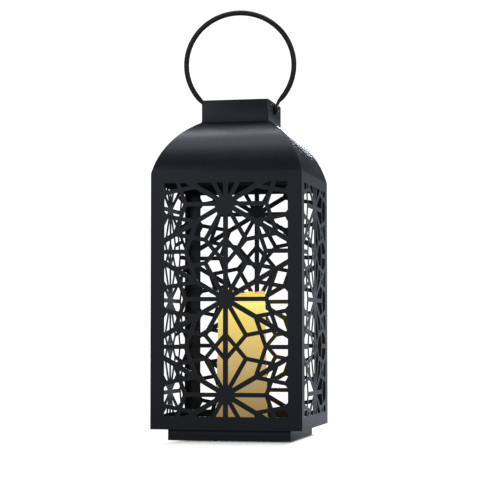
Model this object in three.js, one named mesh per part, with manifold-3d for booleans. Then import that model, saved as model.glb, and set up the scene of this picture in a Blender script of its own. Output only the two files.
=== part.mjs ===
// A square sheet metal lantern with star lattice walls, a curved roof, a ring handle and a battery
// candle inside.
// Millimetres, +Z up. The origin is the middle of the footprint, on the surface that the lantern stands on.
import * as THREE from 'three';
import { mergeVertices } from 'three/addons/utils/BufferGeometryUtils.js';
import Module from 'manifold-3d';

const wasm = await Module();
wasm.setup();

// Sheet metal
const sheet = 1.2;              // gauge of the roof, the neck box, the floor pan and the plinth
const wallSheet = 0.75;         // gauge of the four lattice walls
const seam = 0.3;               // gap left at each weld, seat and running fit
const overrun = 2;              // how far a cutting body reaches past the piece that it cuts

// Body
const bodyWidth = 152;
const wallHeight = 253.2;
const stile = 14;               // solid margin at each side of the lattice
const topRail = 10.4;
const bottomRail = 13;

// Lattice of twelve-pointed stars
const hubSpacing = 93.6;
const hubRadius = 9.1;
const longRayWidth = 5.1;
const shortRayWidth = 4.4;
const crossWidth = 4.2;
const shortRayShare = 0.436;    // length of a short ray over the hub spacing
const crossShare = 0.631;       // where a crossing line meets a long ray, over the hub spacing
const rays = 12;

// Roof
const roofRise = 54.2;
const roofBulge = 7.25;         // how far the curve stands out from its chord
const roofSteps = 12;

// Neck box
const capWidth = 68.8;
const capHeight = 22.4;         // above the roof
const capTuck = 3;              // below the top edge of the roof

// Plinth
const plinthWidth = 123.8;
const plinthHeight = 11;
const plinthLip = 8;            // turned-in edge that rests on the table

// Ring handle
const rodDiameter = 5.3;
const ringHalfWidth = 56.4;     // to the middle of the rod
const ringHalfHeight = 53.3;
const ringDip = 6.2;            // how far the full oval would reach below its pivot
const ringLean = 8;             // degrees forward of upright
const ringSet = 0.7;            // how far the round part is bent to the left of its two ends
const pivotDrop = 7.4;          // pivot below the top of the neck box
const tabThickness = 2;
const tabWidth = 9.4;
const tabRise = 3.6;            // flat part above the pivot
const ringJoin = 10.4;          // height above the pivot at which the bent ends meet the oval
const tabBend = 45;             // degrees from upright at which the rod leaves its flat end
const flattenLength = 14;       // stretch of rod that thins towards the flat end
const waistShare = 0.4;         // part of that stretch in which the flat end narrows to the rod
const ringSteps = 44;
const ringSides = 12;
const ringEndSteps = 6;
const rootShare = 0.96;         // end of the rod inside its tab, over the tab's size

// Rivets
const rivetDiameter = 3;
const rivetHead = 6;
const rivetHeadHeight = 1.2;
const rivetTailHeight = 0.8;
const rivetSides = 14;

// Candle shell
const candleFootRadius = 26.4;
const candleTopRadius = 23.8;
const candleHeight = 134.2;     // to the middle of the wavy rim
const candleWall = 2.6;
const rimWave = 1.8;            // height of the four main waves of the rim
const rimRipple = 0.35;         // height of the three smaller ones
const rimTurn = 0.22;           // radians that the main waves are turned by
const rippleTurn = 0.6;
const rimRound = 1.1;
const poolDepth = 7;            // pool surface below the rim
const poolDish = 0.8;
const poolThickness = 2.2;
const candleSides = 48;

// Batteries, the AA size
const batteryDiameter = 14.3;
const batteryLength = 50.2;
const nubDiameter = 5.3;
const nubHeight = 1.4;
const batterySides = 18;

// Battery holder in the foot of the candle
const boreClearance = 0.4;      // round each battery
const holderWall = 1.4;
const flangeThickness = 3.6;
const holderForward = 4;        // how far the batteries stand in front of the candle's middle
const holderTop = 1.5;          // wall above the batteries
const leadHole = 2.6;
const coverThickness = 1.8;
const hingeBarrel = 2.4;
const hingePin = 1.2;
const hingePinLength = 2;
const hingeBarrelLength = 20;
const hingeShoulder = 2.7;      // from the hinge to the cover's edge beside the barrel
const latchWidth = 4;
const latchHeight = 2.6;
const latchThickness = 1.1;

// Contacts
const contactSheet = 0.4;
const contactWidth = 8.4;
const springLength = 5;
const springFootRadius = 3.5;
const springTopRadius = 2.3;
const springWire = 0.7;
const springTurns = 3;
const springStepsPerTurn = 8;
const springSides = 5;
const buttonHeight = 1;
const buttonDiameter = 4.2;

// Slide switch
const switchBack = 13.5;        // behind the candle's middle
const switchTravel = 4;
const switchStem = 2.2;
const switchHeadLength = 4;
const switchHeadWidth = 3.4;
const switchKnobLength = 4.4;
const switchKnobWidth = 4.2;
const switchKnobHeight = 1.9;
const switchRib = 0.5;
const switchLug = 1;
const switchLugHeight = 1.6;
const switchLugPitch = 5;
const switchCheek = 1.2;
const switchBodyLength = 11;
const switchBodyWidth = 5.8;
const switchBodyHeight = 4.4;
const switchChannelDepth = 2.5;
const switchRoom = 0.6;         // round the knob in its window

// Screws
const screwDiameter = 2.4;
const screwHead = 4.8;
const screwHeadHeight = 1.3;
const screwReach = 7;           // into its boss
const bossRadius = 2.9;
const bossHeight = 6;
const rearScrewSide = 15.5;
const rearScrewBack = 12.5;
const frontScrewForward = 18.9;
const screwSides = 12;

// Lamp
const ledDiameter = 5;
const ledLength = 8.6;
const ledFlange = 5.8;
const ledFlangeHeight = 1;
const ledProud = 3;             // above the pool surface
const boardDiameter = 16;
const boardThickness = 1;
const postDiameter = 9;
const postBore = 6;
const spigotHeight = 4;
const wireDiameter = 1.3;
const wireSides = 6;
const wireSteps = 18;
const wireRise = 4;             // straight run of a lead before it bends

// Places that follow from the sizes above
const panTop = plinthHeight + seam + sheet;
const wallBottom = plinthHeight + seam;
const shoulder = wallBottom + wallHeight;
const roofFoot = shoulder + seam;
const roofTop = roofFoot + roofRise;
const capTop = roofTop + capHeight;
const capBottom = roofTop - capTuck;
const pivotHeight = capTop - pivotDrop;
const ringLift = ringHalfHeight - ringDip;
const candleFoot = panTop + seam;
const openingWidth = bodyWidth - 2 * stile;
const openingHeight = wallHeight - topRail - bottomRail;
const openingMiddle = wallBottom + bottomRail + openingHeight / 2;
const mitre = seam / Math.SQRT2;

// Places inside the candle, above its foot
const boreRadius = batteryDiameter / 2 + boreClearance;
const borePitch = 2 * boreRadius + holderWall;
const holderWidth = borePitch + 2 * (boreRadius + holderWall);
const holderDepth = 2 * (boreRadius + holderWall);
const bridgeTop = coverThickness + seam + contactSheet;
const battery1Foot = bridgeTop + springLength + seam;
const battery2Foot = bridgeTop + buttonHeight + seam;
const contactLevel = battery1Foot + batteryLength + seam;
const boreTop = contactLevel + contactSheet + seam;
const holderHeight = boreTop + holderTop;
const holderFront = -holderDepth / 2 - holderForward;
const holderRear = holderDepth / 2 - holderForward;
const hingeHeight = hingeBarrel / 2;
const hingeRoom = hingeBarrel / 2 + seam;
const barrelReach = hingeBarrelLength / 2 + seam;
const pinReach = barrelReach + hingePinLength;
const mouthDepth = coverThickness + seam + contactSheet + seam;
const batteryPlaces = [-borePitch / 2, borePitch / 2];
const poolLevel = candleHeight - poolDepth;
const ledTop = poolLevel - poolDish + ledProud;
const ledFoot = ledTop - ledLength;
const boardTop = ledFoot - seam;
const boardBottom = boardTop - boardThickness;
const flangeRadius = candleFootRadius - candleWall - seam;
const screwPlaces = [
  [-rearScrewSide, rearScrewBack],
  [rearScrewSide, rearScrewBack],
  [0, -frontScrewForward],
];

// Solid helpers

function solid(geometry) {
  const bare = geometry.clone();
  bare.deleteAttribute('normal');
  bare.deleteAttribute('uv');
  const merged = mergeVertices(bare);
  const corners = Array.from(merged.index.array);
  const triangles = [];
  for (let start = 0; start < corners.length; start += 3) {
    const [a, b, c] = corners.slice(start, start + 3);
    if (a !== b && b !== c && c !== a) {
      triangles.push(a, b, c);
    }
  }
  return new wasm.Manifold(new wasm.Mesh({
    numProp: 3,
    vertProperties: Float32Array.from(merged.attributes.position.array),
    triVerts: Uint32Array.from(triangles),
  }));
}

function geometryOf(body) {
  const mesh = body.getMesh();
  const geometry = new THREE.BufferGeometry();
  geometry.setAttribute('position', new THREE.BufferAttribute(Float32Array.from(mesh.vertProperties), 3));
  geometry.setIndex(Array.from(mesh.triVerts));
  geometry.computeVertexNormals();
  return geometry;
}

function join(bodies) {
  return bodies.reduce((whole, body) => whole.add(body));
}

// A box from its lowest to its highest corner.
function block(low, high) {
  const size = high.map((value, axis) => value - low[axis]);
  const middle = high.map((value, axis) => (value + low[axis]) / 2);
  return new THREE.BoxGeometry(...size).translate(...middle);
}

// A round bar along Z, from one height to another.
function rod(radius, low, high, sides, x = 0, y = 0) {
  return new THREE.CylinderGeometry(radius, radius, high - low, sides)
    .rotateX(Math.PI / 2)
    .translate(x, y, (low + high) / 2);
}

// A round bar along X.
function rodX(radius, low, high, sides, y, z) {
  return new THREE.CylinderGeometry(radius, radius, high - low, sides)
    .rotateZ(Math.PI / 2)
    .translate((low + high) / 2, y, z);
}

// A prism of an outline in X and Y, from one height to another.
function prism(points, low, high) {
  const shape = new THREE.Shape(points.map(([x, y]) => new THREE.Vector2(x, y)));
  return new THREE.ExtrudeGeometry(shape, { depth: high - low, bevelEnabled: false }).translate(0, 0, low);
}

// A turned piece about Z, from the radius and height of each point of its profile.
function turned(points, sides) {
  const profile = points.map(([radius, height]) => new THREE.Vector2(radius, height));
  return new THREE.LatheGeometry(profile, sides).rotateX(Math.PI / 2);
}

// A closed skin over rings of points, with a flat cap at each end.
function skin(rings) {
  const sides = rings[0].length;
  const position = rings.flat().flatMap((point) => [point.x, point.y, point.z]);
  const index = [];
  for (let ring = 0; ring < rings.length - 1; ring += 1) {
    for (let side = 0; side < sides; side += 1) {
      const here = ring * sides + side;
      const next = ring * sides + ((side + 1) % sides);
      index.push(here, next, next + sides, here, next + sides, here + sides);
    }
  }
  const last = (rings.length - 1) * sides;
  for (let side = 1; side < sides - 1; side += 1) {
    index.push(0, side + 1, side, last, last + side, last + side + 1);
  }
  const geometry = new THREE.BufferGeometry();
  geometry.setAttribute('position', new THREE.Float32BufferAttribute(position, 3));
  geometry.setIndex(index);
  return geometry;
}

// Sheet metal walls

// A flat bar of the lattice between two points, in the plane of the wall.
function latticeBar(from, to, width) {
  const run = new THREE.Vector2().subVectors(to, from);
  return new THREE.BoxGeometry(run.length(), wallSheet, width)
    .rotateY(-run.angle())
    .translate((from.x + to.x) / 2, 0, (from.y + to.y) / 2);
}

function polar(origin, degrees, length) {
  const angle = THREE.MathUtils.degToRad(degrees);
  return new THREE.Vector2(origin.x + length * Math.cos(angle), origin.y + length * Math.sin(angle));
}

// The bars and the disc that belong to one star.
function starPieces(hub) {
  const pieces = [new THREE.CylinderGeometry(hubRadius, hubRadius, wallSheet, rays).translate(hub.x, 0, hub.y)];
  for (let sixth = 0; sixth < 6; sixth += 1) {
    const angle = 60 * sixth;
    const tip = polar(hub, angle, shortRayShare * hubSpacing);
    pieces.push(latticeBar(hub, tip, shortRayWidth));
    pieces.push(latticeBar(hub, polar(hub, angle + 30, hubSpacing / 2 + longRayWidth), longRayWidth));
    for (const side of [-30, 30]) {
      pieces.push(latticeBar(tip, polar(hub, angle + side, crossShare * hubSpacing), crossWidth));
    }
  }
  return pieces;
}

// Star hubs on a triangular grid, with one column of them up the middle of the wall.
function hubPlaces() {
  const columnPitch = hubSpacing * Math.cos(Math.PI / 6);
  const columns = Math.ceil((openingWidth / 2 + hubSpacing) / columnPitch);
  const rows = Math.ceil((openingHeight / 2 + hubSpacing) / hubSpacing);
  const places = [];
  for (let column = -columns; column <= columns; column += 1) {
    for (let row = -rows; row <= rows; row += 1) {
      const shift = column % 2 === 0 ? 0 : 1 / 2;
      places.push(new THREE.Vector2(column * columnPitch, openingMiddle + (row + shift) * hubSpacing));
    }
  }
  return places;
}

function reachesOpening(geometry) {
  geometry.computeBoundingBox();
  const { min, max } = geometry.boundingBox;
  const across = openingWidth / 2;
  const low = openingMiddle - openingHeight / 2;
  const high = openingMiddle + openingHeight / 2;
  return min.x < across && max.x > -across && min.z < high && max.z > low;
}

function openingBlock(margin, depth) {
  const across = openingWidth / 2 + margin;
  const up = openingHeight / 2 + margin;
  return block([-across, -depth, openingMiddle - up], [across, depth, openingMiddle + up]);
}

// One wall, standing at the front of the body, with mitred upright edges.
function wallGeometry() {
  const bars = hubPlaces().flatMap(starPieces).filter(reachesOpening).map(solid);
  const lattice = join(bars).intersect(solid(openingBlock(wallSheet, wallSheet)));
  const outer = bodyWidth / 2;
  const plate = solid(block([-outer, -wallSheet / 2, wallBottom], [outer, wallSheet / 2, shoulder]));
  const frame = plate.subtract(solid(openingBlock(0, wallSheet)));
  const wall = frame.add(lattice).translate(0, wallSheet / 2 - outer, 0);
  const inner = outer - wallSheet;
  const corner = prism([
    [mitre - outer, -outer],
    [outer - mitre, -outer],
    [inner - mitre, -inner],
    [mitre - inner, -inner],
  ], wallBottom - overrun, shoulder + overrun);
  return geometryOf(wall.intersect(solid(corner)));
}

// Curved roof

// Points along the roof's curve, from the shoulder up to the neck, moved inwards by a depth.
function roofCurve(depth) {
  const foot = new THREE.Vector2(bodyWidth / 2, roofFoot);
  const top = new THREE.Vector2(capWidth / 2 + seam, roofTop);
  const chord = new THREE.Vector2().subVectors(top, foot);
  const half = chord.length() / 2;
  const radius = (half * half + roofBulge * roofBulge) / (2 * roofBulge);
  const outwards = new THREE.Vector2(chord.y, -chord.x).normalize();
  const centre = foot.clone().add(top).multiplyScalar(1 / 2).addScaledVector(outwards, roofBulge - radius);
  const middle = outwards.angle();
  const spread = Math.asin(half / radius);
  const points = [];
  for (let step = 0; step <= roofSteps; step += 1) {
    const angle = middle + spread * (2 * step / roofSteps - 1);
    const reach = radius - depth;
    points.push([centre.x + reach * Math.cos(angle), centre.y + reach * Math.sin(angle)]);
  }
  return points;
}

// One gore on the +X side, cut off at its hips, at the neck and level with the shoulder.
function goreGeometry() {
  const outline = [...roofCurve(0), ...roofCurve(sheet).reverse()];
  const shape = new THREE.Shape(outline.map(([x, z]) => new THREE.Vector2(x, z)));
  const sweep = new THREE.ExtrudeGeometry(shape, { depth: bodyWidth, bevelEnabled: false })
    .rotateX(Math.PI / 2)
    .translate(0, bodyWidth / 2, 0);
  const inner = capWidth / 2 + seam;
  const outer = bodyWidth / 2 + overrun;
  const hips = prism([
    [inner, mitre - inner],
    [outer, mitre - outer],
    [outer, outer - mitre],
    [inner, inner - mitre],
  ], roofFoot, roofTop + overrun);
  return geometryOf(solid(sweep).intersect(solid(hips)));
}

// Neck box

function capSleeveGeometry() {
  const outer = capWidth / 2;
  const inner = outer - sheet;
  const box = solid(block([-outer, -outer, capBottom], [outer, outer, capTop]));
  const hollow = solid(block([-inner, -inner, capBottom - overrun], [inner, inner, capTop + overrun]));
  const reach = outer + overrun;
  const hole = solid(rodX(rivetDiameter / 2 + seam, -reach, reach, rivetSides, 0, pivotHeight));
  return geometryOf(box.subtract(hollow).subtract(hole));
}

function capLidGeometry() {
  const half = capWidth / 2 - sheet - seam;
  return block([-half, -half, capTop - sheet], [half, half, capTop]);
}

// Ring handle, drawn about its pivot

const tabMiddle = capWidth / 2 + seam + tabThickness / 2;
const headSeat = capWidth / 2 + seam + tabThickness + seam;

function smooth(share) {
  const held = Math.min(Math.max(share, 0), 1);
  return held * held * (3 - 2 * held);
}

function swell(value, power) {
  return Math.sign(value) * Math.abs(value) ** power;
}

// A ring of points round the rod: thin is its size in the plane of the handle, wide is across it.
// A round of 1 is a circle, and a smaller one is squarer.
function rodSection({ x, z, heading, thin, wide, round }) {
  const power = THREE.MathUtils.lerp(1 / 3, 1, round);
  const points = [];
  for (let side = 0; side < ringSides; side += 1) {
    const turn = 2 * Math.PI * side / ringSides;
    const out = thin / 2 * swell(Math.cos(turn), power);
    const across = wide / 2 * swell(Math.sin(turn), power);
    points.push(new THREE.Vector3(x + out * Math.sin(heading), across, z - out * Math.cos(heading)));
  }
  return points;
}

// Size and shape of the rod's section at a distance from the top of its flat tab.
function rodSize(travelled) {
  const round = smooth(travelled / flattenLength);
  const waist = smooth(travelled / (waistShare * flattenLength));
  return {
    thin: THREE.MathUtils.lerp(rootShare * tabThickness, rodDiameter, round),
    wide: THREE.MathUtils.lerp(rootShare * tabWidth, rodDiameter, waist),
    round,
  };
}

// The bent end of the rod on the +X side, from the top of the flat tab out to the ring.
// The ring there stands further out by a sideways amount.
function ringEndSections(joinAngle, sideways) {
  const start = new THREE.Vector2(tabMiddle, tabRise);
  const end = new THREE.Vector2(
    ringHalfWidth * Math.cos(joinAngle) + sideways,
    ringLift + ringHalfHeight * Math.sin(joinAngle),
  );
  const along = new THREE.Vector2(
    -ringHalfWidth * Math.sin(joinAngle),
    ringHalfHeight * Math.cos(joinAngle),
  );
  const reach = start.distanceTo(end) / 2;
  const bendAngle = THREE.MathUtils.degToRad(tabBend);
  const leaving = new THREE.Vector2(reach * Math.sin(bendAngle), reach * Math.cos(bendAngle));
  const bend = new THREE.CubicBezierCurve(
    start,
    start.clone().add(leaving),
    end.clone().addScaledVector(along.normalize(), -reach),
    end,
  );
  const sections = [];
  for (let step = 0; step < ringEndSteps; step += 1) {
    const share = step / ringEndSteps;
    const point = bend.getPoint(share);
    const heading = bend.getTangent(share).angle();
    sections.push({ x: point.x, z: point.y, heading, ...rodSize(share * bend.getLength()) });
  }
  return sections;
}

function ringGeometry() {
  const joinAngle = -Math.asin((ringLift - ringJoin) / ringHalfHeight);
  const ends = ringEndSections(joinAngle, -ringSet);
  const farEnds = ringEndSections(joinAngle, ringSet);
  const round = [];
  const span = Math.PI - 2 * joinAngle;
  for (let step = 0; step <= ringSteps; step += 1) {
    const angle = joinAngle + span * step / ringSteps;
    const x = ringHalfWidth * Math.cos(angle) - ringSet;
    const z = ringLift + ringHalfHeight * Math.sin(angle);
    const heading = Math.atan2(ringHalfHeight * Math.cos(angle), -ringHalfWidth * Math.sin(angle));
    const fromEnd = Math.min(angle - joinAngle, joinAngle + span - angle) * ringHalfHeight;
    round.push({ x, z, heading, ...rodSize(ringJoin - tabRise + fromEnd) });
  }
  const mirrored = farEnds
    .map((section) => ({ ...section, x: -section.x, heading: -section.heading }))
    .reverse();
  const foot = { ...ends[0], z: ends[0].z - tabWidth / 2 };
  const farFoot = { ...mirrored.at(-1), z: foot.z };
  const sections = [foot, ...ends, ...round, ...mirrored, farFoot];
  const rings = sections.map(rodSection);
  const tabs = [-1, 1].map((side) => tabSolid(side * tabMiddle));
  const bore = rodX(rivetDiameter / 2 + seam, -headSeat - overrun, headSeat + overrun, rivetSides, 0, 0);
  return geometryOf(join([solid(skin(rings)), ...tabs]).subtract(solid(bore)));
}

// The flat end, round below about the pivot.
function tabSolid(middle) {
  const low = middle - tabThickness / 2;
  const high = middle + tabThickness / 2;
  const disc = solid(rodX(tabWidth / 2, low, high, 2 * rivetSides, 0, 0));
  const plate = solid(block([low, -tabWidth / 2, 0], [high, tabWidth / 2, tabRise]));
  return disc.add(plate);
}

// A rivet on the +X side: a domed head outside, a shank through tab and wall, and a flat tail inside.
function rivetGeometry() {
  const inside = capWidth / 2 - sheet - seam;
  const shank = rivetDiameter / 2;
  const head = rivetHead / 2;
  const domeShare = 0.75;
  const profile = [
    [0, inside - rivetTailHeight],
    [head * domeShare, inside - rivetTailHeight],
    [head * domeShare, inside],
    [shank, inside],
    [shank, headSeat],
    [head, headSeat],
    [head * domeShare, headSeat + rivetHeadHeight * domeShare],
    [0, headSeat + rivetHeadHeight],
  ];
  return turned(profile, rivetSides).rotateY(Math.PI / 2);
}

// Foot of the lantern

function roundedRectangle(left, right, low, high, radius) {
  const points = [];
  const corners = [[right, high, 0], [left, high, 1], [left, low, 2], [right, low, 3]];
  for (const [x, y, quarter] of corners) {
    const cx = x === right ? x - radius : x + radius;
    const cy = y === high ? y - radius : y + radius;
    for (let step = 0; step <= 2; step += 1) {
      const angle = (quarter + step / 2) * Math.PI / 2;
      points.push([cx + radius * Math.cos(angle), cy + radius * Math.sin(angle)]);
    }
  }
  return points;
}

// Outline of the battery cover back to a rear edge, or of the recess round it when grown by a clearance.
function coverOutline(rear, grow) {
  const side = holderWidth / 2 - holderWall + grow;
  const front = holderFront + holderWall - grow;
  return roundedRectangle(-side, side, front, rear + grow, holderWall + grow);
}

function knobWindow() {
  const across = (switchTravel + switchKnobLength) / 2 + switchRoom;
  const along = switchKnobWidth / 2 + switchRoom;
  return roundedRectangle(-across, across, switchBack - along, switchBack + along, switchRoom);
}

function floorPanGeometry() {
  const half = bodyWidth / 2 - wallSheet - seam;
  let pan = solid(block([-half, -half, wallBottom], [half, half, panTop]));
  const low = wallBottom - overrun;
  const high = panTop + overrun;
  pan = pan.subtract(solid(prism(coverOutline(holderRear + hingeRoom, holderWall), low, high)));
  pan = pan.subtract(solid(prism(knobWindow(), low, high)));
  for (const [x, y] of screwPlaces) {
    pan = pan.subtract(solid(rod(screwDiameter / 2 + seam, low, high, screwSides, x, y)));
  }
  return geometryOf(pan);
}

function plinthGeometry() {
  const outer = plinthWidth / 2;
  const inner = outer - sheet;
  const lip = inner - plinthLip;
  const box = solid(block([-outer, -outer, 0], [outer, outer, plinthHeight]));
  const hollow = solid(block([-inner, -inner, sheet], [inner, inner, plinthHeight + overrun]));
  const mouth = solid(block([-lip, -lip, -overrun], [lip, lip, sheet + overrun]));
  return geometryOf(box.subtract(hollow).subtract(mouth));
}

function screwGeometry(x, y) {
  const top = wallBottom - seam;
  const shank = screwDiameter / 2;
  const head = screwHead / 2;
  const profile = [
    [0, top - screwHeadHeight],
    [head, top - screwHeadHeight],
    [head, top],
    [shank, top],
    [shank, candleFoot + screwReach - shank],
    [0, candleFoot + screwReach],
  ];
  return turned(profile, screwSides).translate(x, y, 0);
}

// Candle, drawn from its foot up

function rimHeight(angle) {
  const wave = rimWave * Math.cos(4 * (angle + rimTurn));
  const ripple = rimRipple * Math.cos(3 * (angle + rippleTurn));
  return candleHeight + wave + ripple;
}

function candleRadius(height) {
  return THREE.MathUtils.lerp(candleFootRadius, candleTopRadius, height / candleHeight);
}

// Profile of the shell at one angle, as a closed loop of radius and height.
function shellProfile(angle) {
  const rim = rimHeight(angle);
  const outer = candleRadius(rim);
  const under = poolLevel - poolThickness;
  const hole = ledDiameter / 2 + seam + seam / 3;
  return [
    [candleFootRadius, 0],
    [candleRadius(candleHeight / 2), candleHeight / 2],
    [candleRadius(rim - rimRound), rim - rimRound],
    [outer - rimRound / 3, rim - rimRound / 3],
    [outer - rimRound, rim],
    [outer - 2 * rimRound, rim - rimRound / 2],
    [outer - candleWall, poolLevel + rimRound],
    [outer - candleWall - rimRound, poolLevel],
    [hole, poolLevel - poolDish],
    [hole, under],
    [candleRadius(under) - candleWall, under],
    [candleFootRadius - candleWall, 0],
  ];
}

function candleShellGeometry() {
  const position = [];
  const index = [];
  let count = 0;
  for (let side = 0; side < candleSides; side += 1) {
    const angle = 2 * Math.PI * side / candleSides;
    const profile = shellProfile(angle);
    count = profile.length;
    for (const [radius, height] of profile) {
      position.push(radius * Math.cos(angle), radius * Math.sin(angle), height);
    }
  }
  for (let side = 0; side < candleSides; side += 1) {
    const next = (side + 1) % candleSides;
    for (let point = 0; point < count; point += 1) {
      const after = (point + 1) % count;
      const here = side * count;
      const there = next * count;
      index.push(here + point, there + point, there + after, here + point, there + after, here + after);
    }
  }
  const geometry = new THREE.BufferGeometry();
  geometry.setAttribute('position', new THREE.Float32BufferAttribute(position, 3));
  geometry.setIndex(index);
  return geometry;
}

function switchSlot(low, high) {
  const across = (switchStem + switchTravel) / 2 + seam;
  const along = switchStem / 2 + seam;
  return block([-across, switchBack - along, low], [across, switchBack + along, high]);
}

// The cheeks that the switch sits between.
function switchCheeks() {
  const near = switchBodyLength / 2 + seam;
  const far = near + switchCheek;
  const along = switchBodyWidth / 2;
  const top = flangeThickness + switchBodyHeight / 2;
  return [[near, far], [-far, -near]].map(([low, high]) => (
    solid(block([low, switchBack - along, 0], [high, switchBack + along, top]))
  ));
}

// Everything that is taken out of the holder below: cover recess, latch slot and hinge.
function coverRoom() {
  const edge = holderFront + holderWall;
  const latch = latchWidth / 2 + seam;
  const latchTop = coverThickness + latchHeight + seam;
  const hinge = holderRear;
  const leafRoof = coverThickness + seam;
  return [
    prism(coverOutline(hinge - hingeShoulder + seam, seam), -overrun, mouthDepth),
    block([-latch, edge - seam, 0], [latch, edge + latchThickness + 2 * seam, latchTop]),
    block([-barrelReach, hinge - hingeShoulder, -overrun], [barrelReach, hinge, leafRoof]),
    block([-barrelReach, hinge, -overrun], [barrelReach, hinge + hingeRoom + seam, hingeHeight]),
    rodX(hingeRoom, -barrelReach, barrelReach, screwSides, hinge, hingeHeight),
    rodX(hingePin / 2 + seam, -pinReach, pinReach, screwSides, hinge, hingeHeight),
  ].map(solid);
}

// The holder: a flange that plugs the shell, two battery bores, screw bosses and a spigot for the
// lamp post.
function candleBaseGeometry() {
  const across = holderWidth / 2;
  const outline = roundedRectangle(-across, across, holderFront, holderRear, boreRadius);
  const tower = prism(outline, 0, holderHeight);
  const spigot = rod(postBore / 2 - seam, boreTop, holderHeight + spigotHeight, screwSides);
  const bossTop = flangeThickness + bossHeight;
  const bosses = screwPlaces.map(([x, y]) => rod(bossRadius, 0, bossTop, screwSides, x, y));
  const flange = rod(flangeRadius, 0, flangeThickness, candleSides);
  const whole = join([...[flange, tower, spigot, ...bosses].map(solid), ...switchCheeks()]);
  const bores = batteryPlaces.flatMap((x) => [
    rod(boreRadius, -overrun, boreTop, 2 * batterySides, x, -holderForward),
    rod(leadHole / 2, 0, holderHeight + overrun, screwSides, x, -holderForward),
  ]);
  const screws = screwPlaces.map(([x, y]) => (
    rod(screwDiameter / 2 + seam, -overrun, screwReach + seam, screwSides, x, y)
  ));
  const slot = switchSlot(-overrun, flangeThickness + overrun);
  const taken = join([...[...bores, ...screws, slot].map(solid), ...coverRoom()]);
  return geometryOf(whole.subtract(taken));
}

// The plate under the batteries, with its hinge barrel, pins and latch tongue.
function batteryCoverGeometry() {
  const edge = holderFront + holderWall + seam;
  const reach = hingeBarrelLength / 2;
  const hinge = holderRear;
  const pinEnd = reach + hingePinLength;
  const latch = latchWidth / 2;
  const latchTop = coverThickness + latchHeight;
  const pieces = [
    prism(coverOutline(hinge - hingeShoulder, 0), 0, coverThickness),
    block([-reach, hinge - hingeShoulder - holderWall, 0], [reach, hinge, coverThickness]),
    rodX(hingeBarrel / 2, -reach, reach, screwSides, hinge, hingeHeight),
    rodX(hingePin / 2, -pinEnd, pinEnd, screwSides, hinge, hingeHeight),
    block([-latch, edge, 0], [latch, edge + latchThickness, latchTop]),
  ];
  return geometryOf(join(pieces.map(solid)));
}

// A battery that stands on its flat end: the can, its shoulder and the button on top.
function batteryGeometry() {
  const can = batteryDiameter / 2;
  const nub = nubDiameter / 2;
  const round = nubHeight / 2;
  const top = batteryLength - nubHeight;
  const profile = [
    [0, 0],
    [can - round, 0],
    [can, round],
    [can, top - round],
    [can - round, top],
    [nub, top],
    [nub, batteryLength],
    [0, batteryLength],
  ];
  return turned(profile, batterySides);
}

// A coil that narrows from its plate to its tip. It rises from zero.
class Coil extends THREE.Curve {
  constructor(height) {
    super();
    this.height = height;
  }

  getPoint(share, target = new THREE.Vector3()) {
    const radius = THREE.MathUtils.lerp(springFootRadius, springTopRadius, share);
    const turn = 2 * Math.PI * springTurns * share;
    return target.set(radius * Math.cos(turn), radius * Math.sin(turn), this.height * share);
  }
}

function roundShape(radius, sides) {
  const points = [];
  for (let side = 0; side < sides; side += 1) {
    const angle = 2 * Math.PI * side / sides;
    points.push(new THREE.Vector2(radius * Math.cos(angle), radius * Math.sin(angle)));
  }
  return new THREE.Shape(points);
}

// A coil whose wire just meets the plate at zero and ends at a height.
function coilGeometry(height) {
  const wire = springWire / 2;
  return new THREE.ExtrudeGeometry(roundShape(wire, springSides), {
    steps: springTurns * springStepsPerTurn,
    bevelEnabled: false,
    extrudePath: new Coil(height - wire),
  });
}

// The strip on the cover that joins the two batteries.
function bridgeContactGeometry() {
  const across = borePitch / 2 + contactWidth / 2;
  const along = contactWidth / 2;
  const [first, second] = batteryPlaces;
  const low = bridgeTop - contactSheet;
  const pieces = [
    block([-across, -along - holderForward, low], [across, along - holderForward, bridgeTop]),
    rod(buttonDiameter / 2, low, bridgeTop + buttonHeight, screwSides, second, -holderForward),
    coilGeometry(springLength).translate(first, -holderForward, bridgeTop),
  ];
  return geometryOf(join(pieces.map(solid)));
}

// A plate at the top of a bore, with a tongue up through the lead hole.
function topPlate(x) {
  const along = contactWidth / 2;
  const across = Math.sqrt(boreRadius ** 2 - along ** 2) - 2 * seam;
  const tongue = leadHole / 2 - 2 * seam;
  const plate = block(
    [x - across, -along - holderForward, contactLevel],
    [x + across, along - holderForward, contactLevel + contactSheet],
  );
  const tail = block(
    [x - tongue, -holderForward - contactSheet / 2, contactLevel],
    [x + tongue, -holderForward + contactSheet / 2, holderHeight + leadHole],
  );
  return [plate, tail].map(solid);
}

function contactPositiveGeometry() {
  return geometryOf(join(topPlate(batteryPlaces[0])));
}

function contactNegativeGeometry() {
  const x = batteryPlaces[1];
  const drop = contactLevel - (battery2Foot + batteryLength + seam);
  const coil = coilGeometry(drop).rotateX(Math.PI).translate(x, -holderForward, contactLevel);
  return geometryOf(join([...topPlate(x), solid(coil)]));
}

// Slide switch, drawn with its knob in the middle of its travel

function switchBodyGeometry() {
  const across = switchBodyLength / 2;
  const along = switchBodyWidth / 2;
  const low = flangeThickness + seam;
  const top = low + switchBodyHeight;
  const body = solid(block([-across, switchBack - along, low], [across, switchBack + along, top]));
  const room = (switchHeadLength + switchTravel) / 2 + seam;
  const side = switchHeadWidth / 2 + seam;
  const channel = solid(block(
    [-room, switchBack - side, low - overrun],
    [room, switchBack + side, low + switchChannelDepth],
  ));
  const half = switchLug / 2;
  const lugs = [-1, 0, 1].map((place) => {
    const x = place * switchLugPitch / 2;
    return solid(block(
      [x - half, switchBack - contactSheet / 2, top - switchLug],
      [x + half, switchBack + contactSheet / 2, top + switchLugHeight],
    ));
  });
  return geometryOf(join([body.subtract(channel), ...lugs]));
}

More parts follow.
